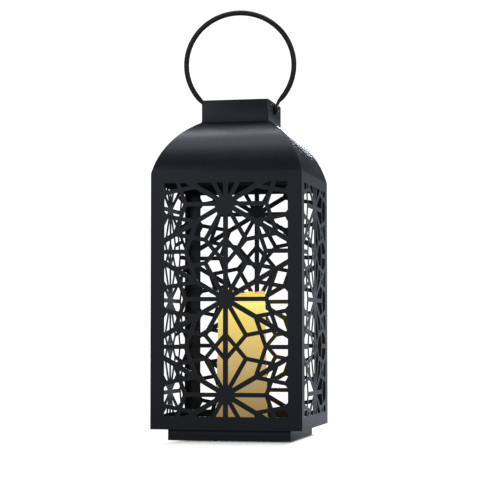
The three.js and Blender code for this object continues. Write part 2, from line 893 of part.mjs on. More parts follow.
// The part that moves: a head inside the switch, a stem through the flange and a ribbed knob below.
function switchSliderGeometry() {
  const stem = switchStem / 2;
  const head = switchHeadLength / 2;
  const side = switchHeadWidth / 2;
  const knob = switchKnobLength / 2;
  const grip = switchKnobWidth / 2;
  const low = flangeThickness + seam;
  const foot = -seam - switchKnobHeight;
  const pieces = [
    block([-head, switchBack - side, low], [head, switchBack + side, low + switchChannelDepth - seam]),
    block([-stem, switchBack - stem, -seam - switchRib], [stem, switchBack + stem, low + switchRib]),
    block([-knob, switchBack - grip, foot + switchRib], [knob, switchBack + grip, -seam]),
  ];
  for (const place of [-1, 0, 1]) {
    const x = place * 3 * switchRib;
    pieces.push(block(
      [x - switchRib / 2, switchBack - grip + switchRib, foot],
      [x + switchRib / 2, switchBack + grip - switchRib, foot + 2 * switchRib],
    ));
  }
  return geometryOf(join(pieces.map(solid)));
}

// Lamp

function ledPostGeometry() {
  const outer = postDiameter / 2;
  const inner = postBore / 2;
  const low = holderHeight + seam;
  const high = boardBottom - seam;
  return turned([[inner, low], [outer, low], [outer, high], [inner, high], [inner, low]], batterySides);
}

function ledGeometry() {
  const flange = ledFlange / 2;
  const lens = ledDiameter / 2;
  const straight = ledTop - lens;
  const profile = [
    [0, ledFoot],
    [flange, ledFoot],
    [flange, ledFoot + ledFlangeHeight],
    [lens, ledFoot + ledFlangeHeight],
  ];
  const domeSteps = 4;
  for (let step = 0; step <= domeSteps; step += 1) {
    const angle = Math.PI / 2 * step / domeSteps;
    profile.push([step === domeSteps ? 0 : lens * Math.cos(angle), straight + lens * Math.sin(angle)]);
  }
  return turned(profile, batterySides);
}

// Leads

function wireGeometry(places) {
  const path = new THREE.CatmullRomCurve3(places.map((place) => new THREE.Vector3(...place)));
  return new THREE.ExtrudeGeometry(roundShape(wireDiameter / 2, wireSides), {
    steps: wireSteps,
    bevelEnabled: false,
    extrudePath: path,
  });
}

const wireAway = wireDiameter / 2 + seam;
const tongueTop = holderHeight + leadHole + 2 * seam;
const lugTop = flangeThickness + seam + switchBodyHeight + switchLugHeight + 2 * seam;
const postSide = postDiameter / 2 + wireAway;
const boardUnder = boardBottom - seam;
const rearRun = holderRear + 2 * wireAway;

// From the battery that stands button up, over the back of the holder and down to the switch.
function wirePositiveGeometry() {
  const x = batteryPlaces[0];
  const lug = -switchLugPitch / 2;
  return wireGeometry([
    [x, -holderForward, tongueTop],
    [x, -holderForward + wireAway, tongueTop + wireRise],
    [x, holderRear, tongueTop + wireRise],
    [x, rearRun, holderHeight - wireRise],
    [x, rearRun, holderHeight / 2],
    [lug - wireRise, rearRun, lugTop + 2 * wireRise],
    [lug, switchBack, lugTop + wireRise],
    [lug, switchBack, lugTop],
  ]);
}

// From the switch up to the lamp.
function wireSwitchedGeometry() {
  const x = batteryPlaces[1];
  return wireGeometry([
    [0, switchBack, lugTop],
    [0, switchBack, lugTop + wireRise],
    [x, rearRun, holderHeight / 2],
    [x, rearRun, holderHeight],
    [wireRise, postSide + wireAway, holderHeight + 3 * wireRise],
    [0, postSide, holderHeight + 6 * wireRise],
    [0, postSide, boardUnder - wireRise],
    [0, postSide, boardUnder],
  ]);
}

// From the battery that stands button down straight up to the lamp.
function wireNegativeGeometry() {
  const x = batteryPlaces[1];
  return wireGeometry([
    [x, -holderForward, tongueTop],
    [x, -holderForward, tongueTop + wireRise],
    [postSide, 0, tongueTop + 4 * wireRise],
    [postSide, 0, (tongueTop + boardUnder) / 2],
    [postSide, 0, boardUnder - wireRise],
    [postSide, 0, boardUnder],
  ]);
}

// The whole lantern

const finishes = {
  blackSteel: { color: 0x26282b, roughness: 0.5, metalness: 0.6 },
  wax: { color: 0xe9c684, roughness: 0.6, metalness: 0 },
  darkPlastic: { color: 0x2c2c2e, roughness: 0.6, metalness: 0 },
  palePlastic: { color: 0xd9d5c8, roughness: 0.6, metalness: 0 },
  batteryCan: { color: 0x4d6b50, roughness: 0.4, metalness: 0.3 },
  contactSteel: { color: 0xb8bbbf, roughness: 0.35, metalness: 0.9 },
  board: { color: 0x2e5f3c, roughness: 0.5, metalness: 0 },
  lens: { color: 0xffd57a, roughness: 0.2, metalness: 0 },
  red: { color: 0xa8231d, roughness: 0.6, metalness: 0 },
  black: { color: 0x1c1c1e, roughness: 0.6, metalness: 0 },
  white: { color: 0xdedede, roughness: 0.6, metalness: 0 },
};

function piece(name, geometry, finish) {
  const material = new THREE.MeshStandardMaterial(finishes[finish]);
  const mesh = new THREE.Mesh(geometryOf(solid(geometry)), material);
  mesh.name = name;
  return mesh;
}

function candlePiece(name, geometry, finish) {
  const mesh = piece(name, geometry, finish);
  mesh.geometry.translate(0, 0, candleFoot);
  return mesh;
}

// The same piece turned about Z for each side of the body.
function fourPieces(stem, geometry, sides) {
  return sides.map(([side, quarter]) => (
    piece(`${stem}_${side}`, geometry.clone().rotateZ(quarter * Math.PI / 2), 'blackSteel')
  ));
}

function standingBattery(name, x, foot, turn) {
  const geometry = batteryGeometry().translate(0, 0, -batteryLength / 2).rotateX(turn);
  return candlePiece(name, geometry.translate(x, -holderForward, foot + batteryLength / 2), 'batteryCan');
}

const lantern = new THREE.Group();
lantern.name = 'star_lattice_lantern';
const wallSides = [['front', 0], ['right', 1], ['back', 2], ['left', 3]];
const goreSides = [['right', 0], ['back', 1], ['left', 2], ['front', 3]];
const ring = ringGeometry().rotateX(THREE.MathUtils.degToRad(ringLean)).translate(0, 0, pivotHeight);
const rivet = rivetGeometry().translate(0, 0, pivotHeight);
const farRivet = rivetGeometry().rotateZ(Math.PI).translate(0, 0, pivotHeight);
lantern.add(
  ...fourPieces('panel', wallGeometry(), wallSides),
  ...fourPieces('roof', goreGeometry(), goreSides),
  piece('cap_sleeve', capSleeveGeometry(), 'blackSteel'),
  piece('cap_lid', capLidGeometry(), 'blackSteel'),
  piece('handle_ring', ring, 'blackSteel'),
  piece('rivet_right', rivet, 'blackSteel'),
  piece('rivet_left', farRivet, 'blackSteel'),
  piece('floor_pan', floorPanGeometry(), 'blackSteel'),
  piece('plinth_skirt', plinthGeometry(), 'blackSteel'),
  candlePiece('candle_shell', candleShellGeometry(), 'wax'),
  candlePiece('candle_base', candleBaseGeometry(), 'palePlastic'),
  candlePiece('battery_cover', batteryCoverGeometry(), 'palePlastic'),
  candlePiece('bridge_contact', bridgeContactGeometry(), 'contactSteel'),
  standingBattery('battery_1', batteryPlaces[0], battery1Foot, 0),
  standingBattery('battery_2', batteryPlaces[1], battery2Foot, Math.PI),
  candlePiece('contact_positive', contactPositiveGeometry(), 'contactSteel'),
  candlePiece('contact_negative', contactNegativeGeometry(), 'contactSteel'),
  candlePiece('switch_body', switchBodyGeometry(), 'black'),
  candlePiece('switch_slider', switchSliderGeometry().translate(-switchTravel / 2, 0, 0), 'darkPlastic'),
  candlePiece('led_post', ledPostGeometry(), 'palePlastic'),
  candlePiece('led_board', rod(boardDiameter / 2, boardBottom, boardTop, 2 * screwSides), 'board'),
  candlePiece('led', ledGeometry(), 'lens'),
  candlePiece('wire_positive', wirePositiveGeometry(), 'red'),
  candlePiece('wire_switched', wireSwitchedGeometry(), 'white'),
  candlePiece('wire_negative', wireNegativeGeometry(), 'black'),
  ...screwPlaces.map(([x, y], index) => (
    piece(`base_screw_${index + 1}`, screwGeometry(x, y), 'contactSteel')
  )),
);

export default lantern;
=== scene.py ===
"""A square sheet steel lantern with star lattice walls, a curved roof, a ring handle and a battery candle.

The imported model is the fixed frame. Lengths are in metres, +Z is up, and the front faces -Y.
"""

import logging
import math
from collections.abc import Callable, Iterable, Iterator
from contextlib import contextmanager
from dataclasses import dataclass, field
from enum import Enum

import bmesh
import bpy
from mathutils import Matrix, Vector


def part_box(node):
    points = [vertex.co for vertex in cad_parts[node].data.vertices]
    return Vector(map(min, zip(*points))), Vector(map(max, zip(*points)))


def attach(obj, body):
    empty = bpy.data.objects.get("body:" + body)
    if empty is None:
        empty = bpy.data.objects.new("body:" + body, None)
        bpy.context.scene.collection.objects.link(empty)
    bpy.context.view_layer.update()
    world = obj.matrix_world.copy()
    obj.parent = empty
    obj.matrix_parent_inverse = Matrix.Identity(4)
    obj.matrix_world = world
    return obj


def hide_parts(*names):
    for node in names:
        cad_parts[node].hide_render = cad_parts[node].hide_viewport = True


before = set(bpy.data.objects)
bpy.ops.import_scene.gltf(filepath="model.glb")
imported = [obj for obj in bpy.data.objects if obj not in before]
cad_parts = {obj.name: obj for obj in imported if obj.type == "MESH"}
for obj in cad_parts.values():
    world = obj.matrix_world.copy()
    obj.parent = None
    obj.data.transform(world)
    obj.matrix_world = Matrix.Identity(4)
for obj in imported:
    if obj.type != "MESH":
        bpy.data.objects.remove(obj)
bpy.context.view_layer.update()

log = logging.getLogger("lantern")
logging.basicConfig(level=logging.INFO, format="%(name)s: %(message)s")

Piece = bpy.types.Object
Finish = bpy.types.Material
Socket = bpy.types.NodeSocket
Colour = tuple[float, float, float]
Point = tuple[float, float, float]
Stops = tuple[tuple[float, float], ...]

MM = 0.001
MERGE = 1e-6                         # points nearer than this are one
CLOSE = 1e-5                         # levels nearer than this are one
FLAT = 0.99                          # part of a normal along an axis that makes a face square to it
COLOUR_A, COLOUR_B = 6, 7            # a Mix node's inputs for colours
COLOUR_RESULT = 2                    # a Mix node's output for colours
DRIFT = (0.3, 0.7)                   # parts of a cloud pattern where a drift of colour starts and ends


class Side(Enum):
    """The four sides of the lantern, by their quarter turns from the front."""

    FRONT = 0
    RIGHT = 1
    BACK = 2
    LEFT = 3

    @property
    def turn(self) -> Matrix:
        """The turn about Z that brings a piece from the front to this side."""
        return Matrix.Rotation(self.value * math.pi / 2, 4, "Z")

    @property
    def word(self) -> str:
        """The side's name, as the CAD nodes use it."""
        return self.name.lower()


class Body(Enum):
    """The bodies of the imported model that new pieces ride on."""

    HOUSING = "housing"
    RING = "ring"


# Bench tools


def only(piece: Piece) -> Piece:
    """Selects one object, makes it active and leaves all others unselected.

    Args:
        piece: the object.

    Returns:
        The same object.
    """
    bpy.ops.object.select_all(action="DESELECT")
    piece.select_set(True)
    bpy.context.view_layer.objects.active = piece
    return piece


@contextmanager
def editing(piece: Piece) -> Iterator[Piece]:
    """Holds a piece in edit mode, with nothing selected at the start.

    Args:
        piece: the piece to edit.

    Yields:
        The same piece.
    """
    only(piece)
    bpy.ops.object.mode_set(mode="EDIT")
    bpy.ops.mesh.select_all(action="DESELECT")
    yield piece
    bpy.ops.object.mode_set(mode="OBJECT")


def pick(piece: Piece, mode: str, test: Callable[[object], bool]) -> None:
    """Selects the faces or the edges of the piece in edit mode that pass a test.

    Args:
        piece: the piece in edit mode.
        mode: FACE or EDGE.
        test: tells from a face or an edge whether to select it.
    """
    bpy.ops.mesh.select_mode(type=mode)
    mesh = bmesh.from_edit_mesh(piece.data)
    for part in mesh.faces if mode == "FACE" else mesh.edges:
        part.select_set(test(part))
    mesh.select_flush_mode()
    bmesh.update_edit_mesh(piece.data)


def pick_faces(piece: Piece, test: Callable[[Vector, Vector], bool]) -> None:
    """Selects faces by a test of their middle and their normal."""
    pick(piece, "FACE", lambda face: test(face.calc_center_median(), face.normal))


def pick_edges(piece: Piece, test: Callable[[Vector, Vector], bool]) -> None:
    """Selects edges by a test of their two ends."""
    pick(piece, "EDGE", lambda edge: test(edge.verts[0].co, edge.verts[1].co))


def named(name: str) -> Piece:
    """Names the active object and its mesh, and puts its place and size into its mesh.

    Args:
        name: the name.

    Returns:
        The object.
    """
    piece = only(bpy.context.object)
    piece.name = name
    piece.data.name = name
    bpy.ops.object.transform_apply(location=True, rotation=True, scale=True)
    return piece


def added(name: str, data: bpy.types.ID) -> Piece:
    """Adds an object to the scene.

    Args:
        name: the object's name.
        data: its mesh, curve, light or camera.

    Returns:
        The object.
    """
    piece = bpy.data.objects.new(name, data)
    bpy.context.scene.collection.objects.link(piece)
    return piece


def box(name: str, low: Iterable[float], high: Iterable[float]) -> Piece:
    """Adds a box, to be shaped further.

    Args:
        name: the box's name.
        low: its lowest corner.
        high: its highest corner.

    Returns:
        The box.
    """
    low, high = Vector(low), Vector(high)
    bpy.ops.object.select_all(action="DESELECT")
    bpy.ops.mesh.primitive_cube_add(size=1, location=(low + high) / 2, scale=high - low)
    return named(name)


def apply_modifier(piece: Piece, kind: str, **settings: object) -> None:
    """Adds a modifier to a piece, sets it up and applies it.

    Args:
        piece: the piece.
        kind: the modifier's type.
        settings: the modifier's properties.
    """
    only(piece)
    modifier = piece.modifiers.new(kind.title(), kind)
    for key, value in settings.items():
        setattr(modifier, key, value)
    bpy.ops.object.modifier_apply(modifier=modifier.name)


def thicken(piece: Piece, sheet: float) -> None:
    """Gives a bent surface the thickness of its sheet, inwards."""
    apply_modifier(piece, "SOLIDIFY", thickness=sheet, offset=-1, use_even_offset=True)


def tidy_mesh(piece: Piece) -> None:
    """Merges doubled points and turns all faces outwards.

    Args:
        piece: the piece.
    """
    with editing(piece):
        bpy.ops.mesh.select_all(action="SELECT")
        bpy.ops.mesh.remove_doubles(threshold=MERGE)
        bpy.ops.mesh.normals_make_consistent(inside=False)


def smooth(piece: Piece, degrees: float) -> Piece:
    """Shades a piece smooth, apart from sharp edges.

    Args:
        piece: the piece.
        degrees: the angle from which an edge is sharp.

    Returns:
        The same piece.
    """
    only(piece)
    bpy.ops.object.shade_smooth_by_angle(angle=math.radians(degrees))
    return piece


def soften(piece: Piece, width: float, steps: int, degrees: float) -> None:
    """Rounds the sharp edges of a piece.

    Args:
        piece: the piece.
        width: how far from the edge the rounding starts.
        steps: flats across the rounding.
        degrees: the angle from which an edge is sharp.
    """
    apply_modifier(
        piece, "BEVEL", width=width, segments=steps, limit_method="ANGLE",
        angle_limit=math.radians(degrees), harden_normals=False,
    )


def spun(name: str, profile: list[tuple[float, float]], steps: int) -> Piece:
    """Turns a profile about the Z axis, as on a lathe.

    Args:
        name: the piece's name.
        profile: radius and height of each point, from axis to axis or closed on itself.
        steps: flats round the piece.

    Returns:
        The closed piece, with its faces outwards.
    """
    mesh = bpy.data.meshes.new(name)
    edges = [(start, start + 1) for start in range(len(profile) - 1)]
    if profile[0][0] > 0:
        edges.append((len(profile) - 1, 0))
    mesh.from_pydata([(radius, 0, height) for radius, height in profile], edges, [])
    piece = added(name, mesh)
    with editing(piece):
        bpy.ops.mesh.select_all(action="SELECT")
        bpy.ops.mesh.spin(steps=steps, angle=2 * math.pi, center=(0, 0, 0), axis=(0, 0, 1))
    tidy_mesh(piece)
    return piece


def copy_of(piece: Piece, name: str, place: Matrix) -> Piece:
    """Copies a piece with its own mesh, and with the body that fit may have tied it to.

    Args:
        piece: the piece to copy.
        name: the copy's name.
        place: the move or turn that goes into the copy's mesh.

    Returns:
        The copy.
    """
    twin = piece.copy()
    twin.data = piece.data.copy()
    twin.name = name
    twin.data.name = name
    bpy.context.scene.collection.objects.link(twin)
    twin.data.transform(place)
    return twin


def dress(piece: Piece, finish: Finish) -> Piece:
    """Gives a piece one material all over.

    Args:
        piece: the piece.
        finish: the material.

    Returns:
        The same piece.
    """
    piece.data.materials.clear()
    piece.data.materials.append(finish)
    return piece


def fit(piece: Piece, body: Body, nodes: Iterable[str] = ()) -> None:
    """Ties a finished piece to its body and hides the CAD nodes that it stands for.

    Args:
        piece: the piece.
        body: the body that it rides on.
        nodes: the CAD nodes that it replaces, or none where it is fitted over them.
    """
    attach(piece, body.value)
    names = list(nodes)
    if names:
        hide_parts(*names)
    log.info("%s: %d faces on %s", piece.name, len(piece.data.polygons), body.value)


def held(share: float) -> float:
    """Holds a share between 0 and 1."""
    return min(max(share, 0), 1)


def eased(share: float) -> float:
    """Turns an even rise from 0 to 1 into one with a soft start and end."""
    share = held(share)
    return share * share * (3 - 2 * share)


def on_curve(pulls: list[Vector], share: float) -> Vector:
    """Finds a point on a curve that is drawn by its ends and the pulls between them.

    Args:
        pulls: the start, the pulls and the end.
        share: how far along the curve the point is.

    Returns:
        The point.
    """
    while len(pulls) > 1:
        pulls = [a.lerp(b, share) for a, b in zip(pulls, pulls[1:])]
    return pulls[0]


# Finishes


def scaled(colour: Colour, factor: float) -> Colour:
    """Makes a colour lighter or darker by a factor."""
    return tuple(min(1.0, part * factor) for part in colour)


class Wiring:
    """A node tree, with short ways to add, set and join its nodes."""

    def __init__(self, tree: bpy.types.NodeTree) -> None:
        """Takes up a tree."""
        self.tree = tree

    def feed(self, socket: Socket, value: object) -> None:
        """Joins an input to a socket, or sets it.

        Args:
            socket: the input.
            value: another node's output, or the input's value.
        """
        if isinstance(value, bpy.types.NodeSocket):
            self.tree.links.new(value, socket)
        else:
            socket.default_value = value

    def node(self, kind: str, inputs: dict | tuple = (), **settings: object) -> bpy.types.Node:
        """Adds a node, sets its properties and feeds its inputs.

        Args:
            kind: the node's type.
            inputs: values or sockets, by the inputs' names or in the inputs' order.
            settings: the node's properties.

        Returns:
            The node.
        """
        made = self.tree.nodes.new(kind)
        for key, value in settings.items():
            setattr(made, key, value)
        for key, value in inputs.items() if isinstance(inputs, dict) else enumerate(inputs):
            self.feed(made.inputs[key], value)
        return made

    def split_place(self, coordinates: str) -> bpy.types.Node:
        """Adds the node whose outputs X, Y and Z are the parts of a kind of coordinates."""
        place = self.node("ShaderNodeTexCoord").outputs[coordinates]
        return self.node("ShaderNodeSeparateXYZ", (place,))

    def math(self, operation: str, *values: object) -> Socket:
        """Reckons with values or sockets and returns the result."""
        return self.node("ShaderNodeMath", values, operation=operation).outputs["Value"]

    def ramp(self, source: Socket, stops: Iterable[tuple[float, Colour]]) -> Socket:
        """Adds a colour ramp over a socket.

        Args:
            source: the socket, from 0 to 1.
            stops: the places on the ramp and their colours.

        Returns:
            The ramp's colour.
        """
        stops = list(stops)
        ramp = self.node("ShaderNodeValToRGB", {"Fac": source})
        elements = ramp.color_ramp.elements
        while len(elements) < len(stops):
            elements.new(0.5)
        for element, (place, colour) in zip(elements, stops):
            element.position = place
            element.color = (*colour, 1)
        return ramp.outputs["Color"]

    def spread(self, source: Socket, low: float, high: float,
               start: float = 0, end: float = 1, soft: bool = False) -> Socket:
        """Maps a socket to another span.

        Args:
            source: the socket.
            low: the result at the start.
            high: the result at the end.
            start: the socket's value at the start.
            end: its value at the end.
            soft: eases the change at both ends.

        Returns:
            The result.
        """
        inputs = {"Value": source, "From Min": start, "From Max": end, "To Min": low, "To Max": high}
        bend = "SMOOTHSTEP" if soft else "LINEAR"
        return self.node("ShaderNodeMapRange", inputs, interpolation_type=bend).outputs["Result"]

    def mixed(self, share: Socket, first: Socket, second: Socket) -> Socket:
        """Mixes two shaders by the share of the second."""
        return self.node("ShaderNodeMixShader", (share, first, second)).outputs["Shader"]


class Recipe(Wiring):
    """A material's node tree, built up pattern by pattern in object space."""

    def __init__(self, name: str) -> None:
        """Starts a material with its shader in place.

        Args:
            name: the material's name.
        """
        self.material = bpy.data.materials.new(name)
        self.material.use_nodes = True
        super().__init__(self.material.node_tree)
        self.place = self.node("ShaderNodeTexCoord").outputs["Object"]

    def noise(self, size: float, detail: float, stretch: Point = (1, 1, 1)) -> Socket:
        """Adds a cloud pattern in object space.

        Args:
            size: length of one cloud.
            detail: how many finer layers it has.
            stretch: scale of the pattern along each axis.

        Returns:
            The pattern, from 0 to 1.
        """
        mapping = self.node("ShaderNodeMapping", {"Vector": self.place, "Scale": stretch})
        inputs = {"Vector": mapping.outputs["Vector"], "Scale": 1 / size, "Detail": detail, "Roughness": 0.55}
        return self.node("ShaderNodeTexNoise", inputs).outputs["Fac"]

    def mottled(self, cloud: Socket, dark: Colour, pale: Colour) -> Socket:
        """Turns a cloud pattern into a drift between two colours."""
        return self.ramp(cloud, zip(DRIFT, (dark, pale)))

    def height(self) -> Socket:
        """Returns the height above the table, in metres."""
        return self.split_place("Object").outputs["Z"]

    def bump(self, source: Socket, distance: float, strength: float, under: Socket | None = None) -> Socket:
        """Adds a bump to the surface.

        Args:
            source: the pattern of the bump, from 0 to 1.
            distance: its real height.
            strength: the share of it that shows.
            under: another bump below it, where there is one.

        Returns:
            The bumped normal.
        """
        bump = self.node("ShaderNodeBump", {"Height": source, "Distance": distance, "Strength": strength})
        if under is not None:
            self.feed(bump.inputs["Normal"], under)
        return bump.outputs["Normal"]

    def finished(self, **inputs: object) -> Finish:
        """Feeds the shader's inputs.

        Args:
            inputs: values or sockets, by the inputs' names with underscores for spaces.

        Returns:
            The finished material.
        """
        shader = self.tree.nodes["Principled BSDF"]
        for key, value in inputs.items():
            self.feed(shader.inputs[key.replace("_", " ")], value)
        return self.material


@dataclass(frozen=True)
class PowderCoat:
    """Satin black powder coat on sheet steel, with a faint orange peel and thin dust."""

    name: str = "black_powder_coat"
    low: Colour = (0.0125, 0.0135, 0.0145)
    high: Colour = (0.0185, 0.0195, 0.0205)
    gloss: float = 0.28
    gloss_change: float = 0.04
    cloud: float = 0.035
    grain: float = 0.0006
    peel: float = 0.003
    peel_height: float = 0.000002

    def material(self) -> Finish:
        """Builds the material.

        Returns:
            The material.
        """
        recipe = Recipe(self.name)
        cloud = recipe.noise(self.cloud, detail=4)
        peel = recipe.bump(recipe.noise(self.peel, detail=1), self.peel_height, strength=0.6)
        return recipe.finished(
            Base_Color=recipe.mottled(cloud, self.low, self.high),
            Roughness=recipe.spread(cloud, self.gloss - self.gloss_change, self.gloss + self.gloss_change),
            Normal=recipe.bump(
                recipe.noise(self.grain, detail=2), self.peel_height / 4, strength=0.4, under=peel,
            ),
            IOR=1.5,
        )


@dataclass(frozen=True)
class Wax:
    """Ivory wax with a painted glow near its top, an emission by height that stands in for the lamp's light
    through the wax, with soft clouds and a melted skin.
    """

    name: str = "wax_with_painted_glow"
    foot: float = 0.0128             # height where the glow starts to rise
    top: float = 0.149               # height where it ends
    colour: Colour = (0.62, 0.46, 0.21)
    cloud: float = 0.018
    swirl: float = 0.03
    paleness: float = 1.12           # of the pale clouds, against the colour
    gloss: tuple[float, float] = (0.38, 0.52)
    swirl_reach: float = 0.04        # share of the height by which the glow wanders
    lump: float = 0.006
    lump_height: float = 0.0003
    # painted glow: emission colours by height, brightest just under the rim where the lamp shines through
    glow: tuple[tuple[float, Colour], ...] = (
        (0.0, (0.29, 0.20, 0.08)),
        (0.30, (0.44, 0.31, 0.12)),
        (0.58, (0.80, 0.56, 0.18)),
        (0.80, (1.06, 0.82, 0.18)),
        (0.89, (1.12, 1.12, 0.26)),
        (0.95, (1.10, 0.92, 0.20)),
        (1.0, (0.95, 0.63, 0.10)),
    )
    brightness: float = 0.8

    def material(self) -> Finish:
        """Builds the material, with its painted glow rising towards the lamp.

        Returns:
            The material.
        """
        recipe = Recipe(self.name)
        cloud = recipe.noise(self.cloud, detail=3)
        share = recipe.spread(recipe.height(), 0, 1, self.foot, self.top)
        swirl = recipe.spread(recipe.noise(self.swirl, detail=2), -self.swirl_reach, self.swirl_reach)
        return recipe.finished(
            Base_Color=recipe.mottled(cloud, self.colour, scaled(self.colour, self.paleness)),
            # painted glow: emission by height stands in for the lamp's light through the wax
            Emission_Color=recipe.ramp(recipe.math("ADD", share, swirl), self.glow),
            Emission_Strength=self.brightness,
            Roughness=recipe.spread(cloud, *self.gloss),
            Normal=recipe.bump(recipe.noise(self.lump, detail=2), self.lump_height, strength=0.5),
            IOR=1.44,
        )


@dataclass(frozen=True)
class Moulded:
    """Moulded plastic or rubber with a fine spark-eroded grain and slight colour drift."""

    name: str
    colour: Colour
    gloss: float = 0.45
    gloss_change: float = 0.06
    cloud: float = 0.012
    grain: float = 0.0005
    grain_height: float = 0.00002
    drift: float = 0.12

    def material(self) -> Finish:
        """Builds the material.

        Returns:
            The material.
        """
        recipe = Recipe(self.name)
        cloud = recipe.noise(self.cloud, detail=3)
        dark, pale = scaled(self.colour, 1 - self.drift), scaled(self.colour, 1 + self.drift)
        return recipe.finished(
            Base_Color=recipe.mottled(cloud, dark, pale),
            Roughness=recipe.spread(cloud, self.gloss - self.gloss_change, self.gloss + self.gloss_change),
            Normal=recipe.bump(recipe.noise(self.grain, detail=1), self.grain_height, strength=0.5),
        )


@dataclass(frozen=True)
class BareMetal:
    """Plated steel, drawn or pressed, with fine lines along one axis and faint tarnish."""

    name: str
    colour: Colour
    gloss: float = 0.28
    gloss_drop: float = 0.1
    gloss_gain: float = 0.12
    line: float = 0.0006
    line_height: float = 0.00001
    cloud: float = 0.006
    tarnish: float = 0.72            # share of the colour's light that is left where it is dull
    tarnish_span: tuple[float, float] = (0.35, 0.65)
    stretch: Point = (1, 1, 0.08)

    def material(self) -> Finish:
        """Builds the material.

        Returns:
            The material.
        """
        recipe = Recipe(self.name)
        lines = recipe.noise(self.line, detail=2, stretch=self.stretch)
        cloud = recipe.noise(self.cloud, detail=3)
        dull = scaled(self.colour, self.tarnish)
        return recipe.finished(
            Base_Color=recipe.ramp(cloud, zip(self.tarnish_span, (dull, self.colour))),
            Roughness=recipe.spread(lines, self.gloss - self.gloss_drop, self.gloss + self.gloss_gain),
            Normal=recipe.bump(lines, self.line_height, strength=0.5),
            Metallic=1.0,
        )


@dataclass(frozen=True)
class BatteryJacket:
    """A battery's printed film: a dark sleeve with a plain coloured band at its plus end, and bare ends."""

    name: str
    foot: float
    top: float
    plus_up: bool
    sleeve: Colour = (0.035, 0.06, 0.045)
    band: Colour = (0.50, 0.30, 0.09)
    bare: Colour = (0.62, 0.62, 0.60)
    gloss: tuple[float, float] = (0.22, 0.42)
    scuff: float = 0.004
    scuff_height: float = 0.00003

    def material(self) -> Finish:
        """Builds the material, with its bands placed by height.

        Returns:
            The material.
        """
        recipe = Recipe(self.name)
        ends = (self.foot, self.top) if self.plus_up else (self.top, self.foot)
        share = recipe.spread(recipe.height(), 0, 1, *ends)
        stops = [(0.0, self.bare), (0.03, self.sleeve), (0.70, self.band), (0.955, self.bare)]
        bands = recipe.ramp(share, stops)
        bands.node.color_ramp.interpolation = "CONSTANT"
        scuffs = recipe.noise(self.scuff, detail=4)
        return recipe.finished(
            Base_Color=bands,
            Roughness=recipe.spread(scuffs, *self.gloss),
            Normal=recipe.bump(scuffs, self.scuff_height, strength=0.4),
            Metallic=0.35,
        )


@dataclass(frozen=True)
class LampLens:
    """Clear amber epoxy that glows from the chip inside it."""

    name: str = "amber_lens"
    colour: Colour = (1.0, 0.62, 0.16)
    cloud: float = 0.002
    brightness: float = 3.0

    def material(self) -> Finish:
        """Builds the material.

        Returns:
            The material.
        """
        recipe = Recipe(self.name)
        amber = recipe.mottled(recipe.noise(self.cloud, detail=1), scaled(self.colour, 0.8), self.colour)
        return recipe.finished(
            Base_Color=amber, Emission_Color=amber, Emission_Strength=self.brightness, Roughness=0.12,
        )


# The lantern's sub-assemblies


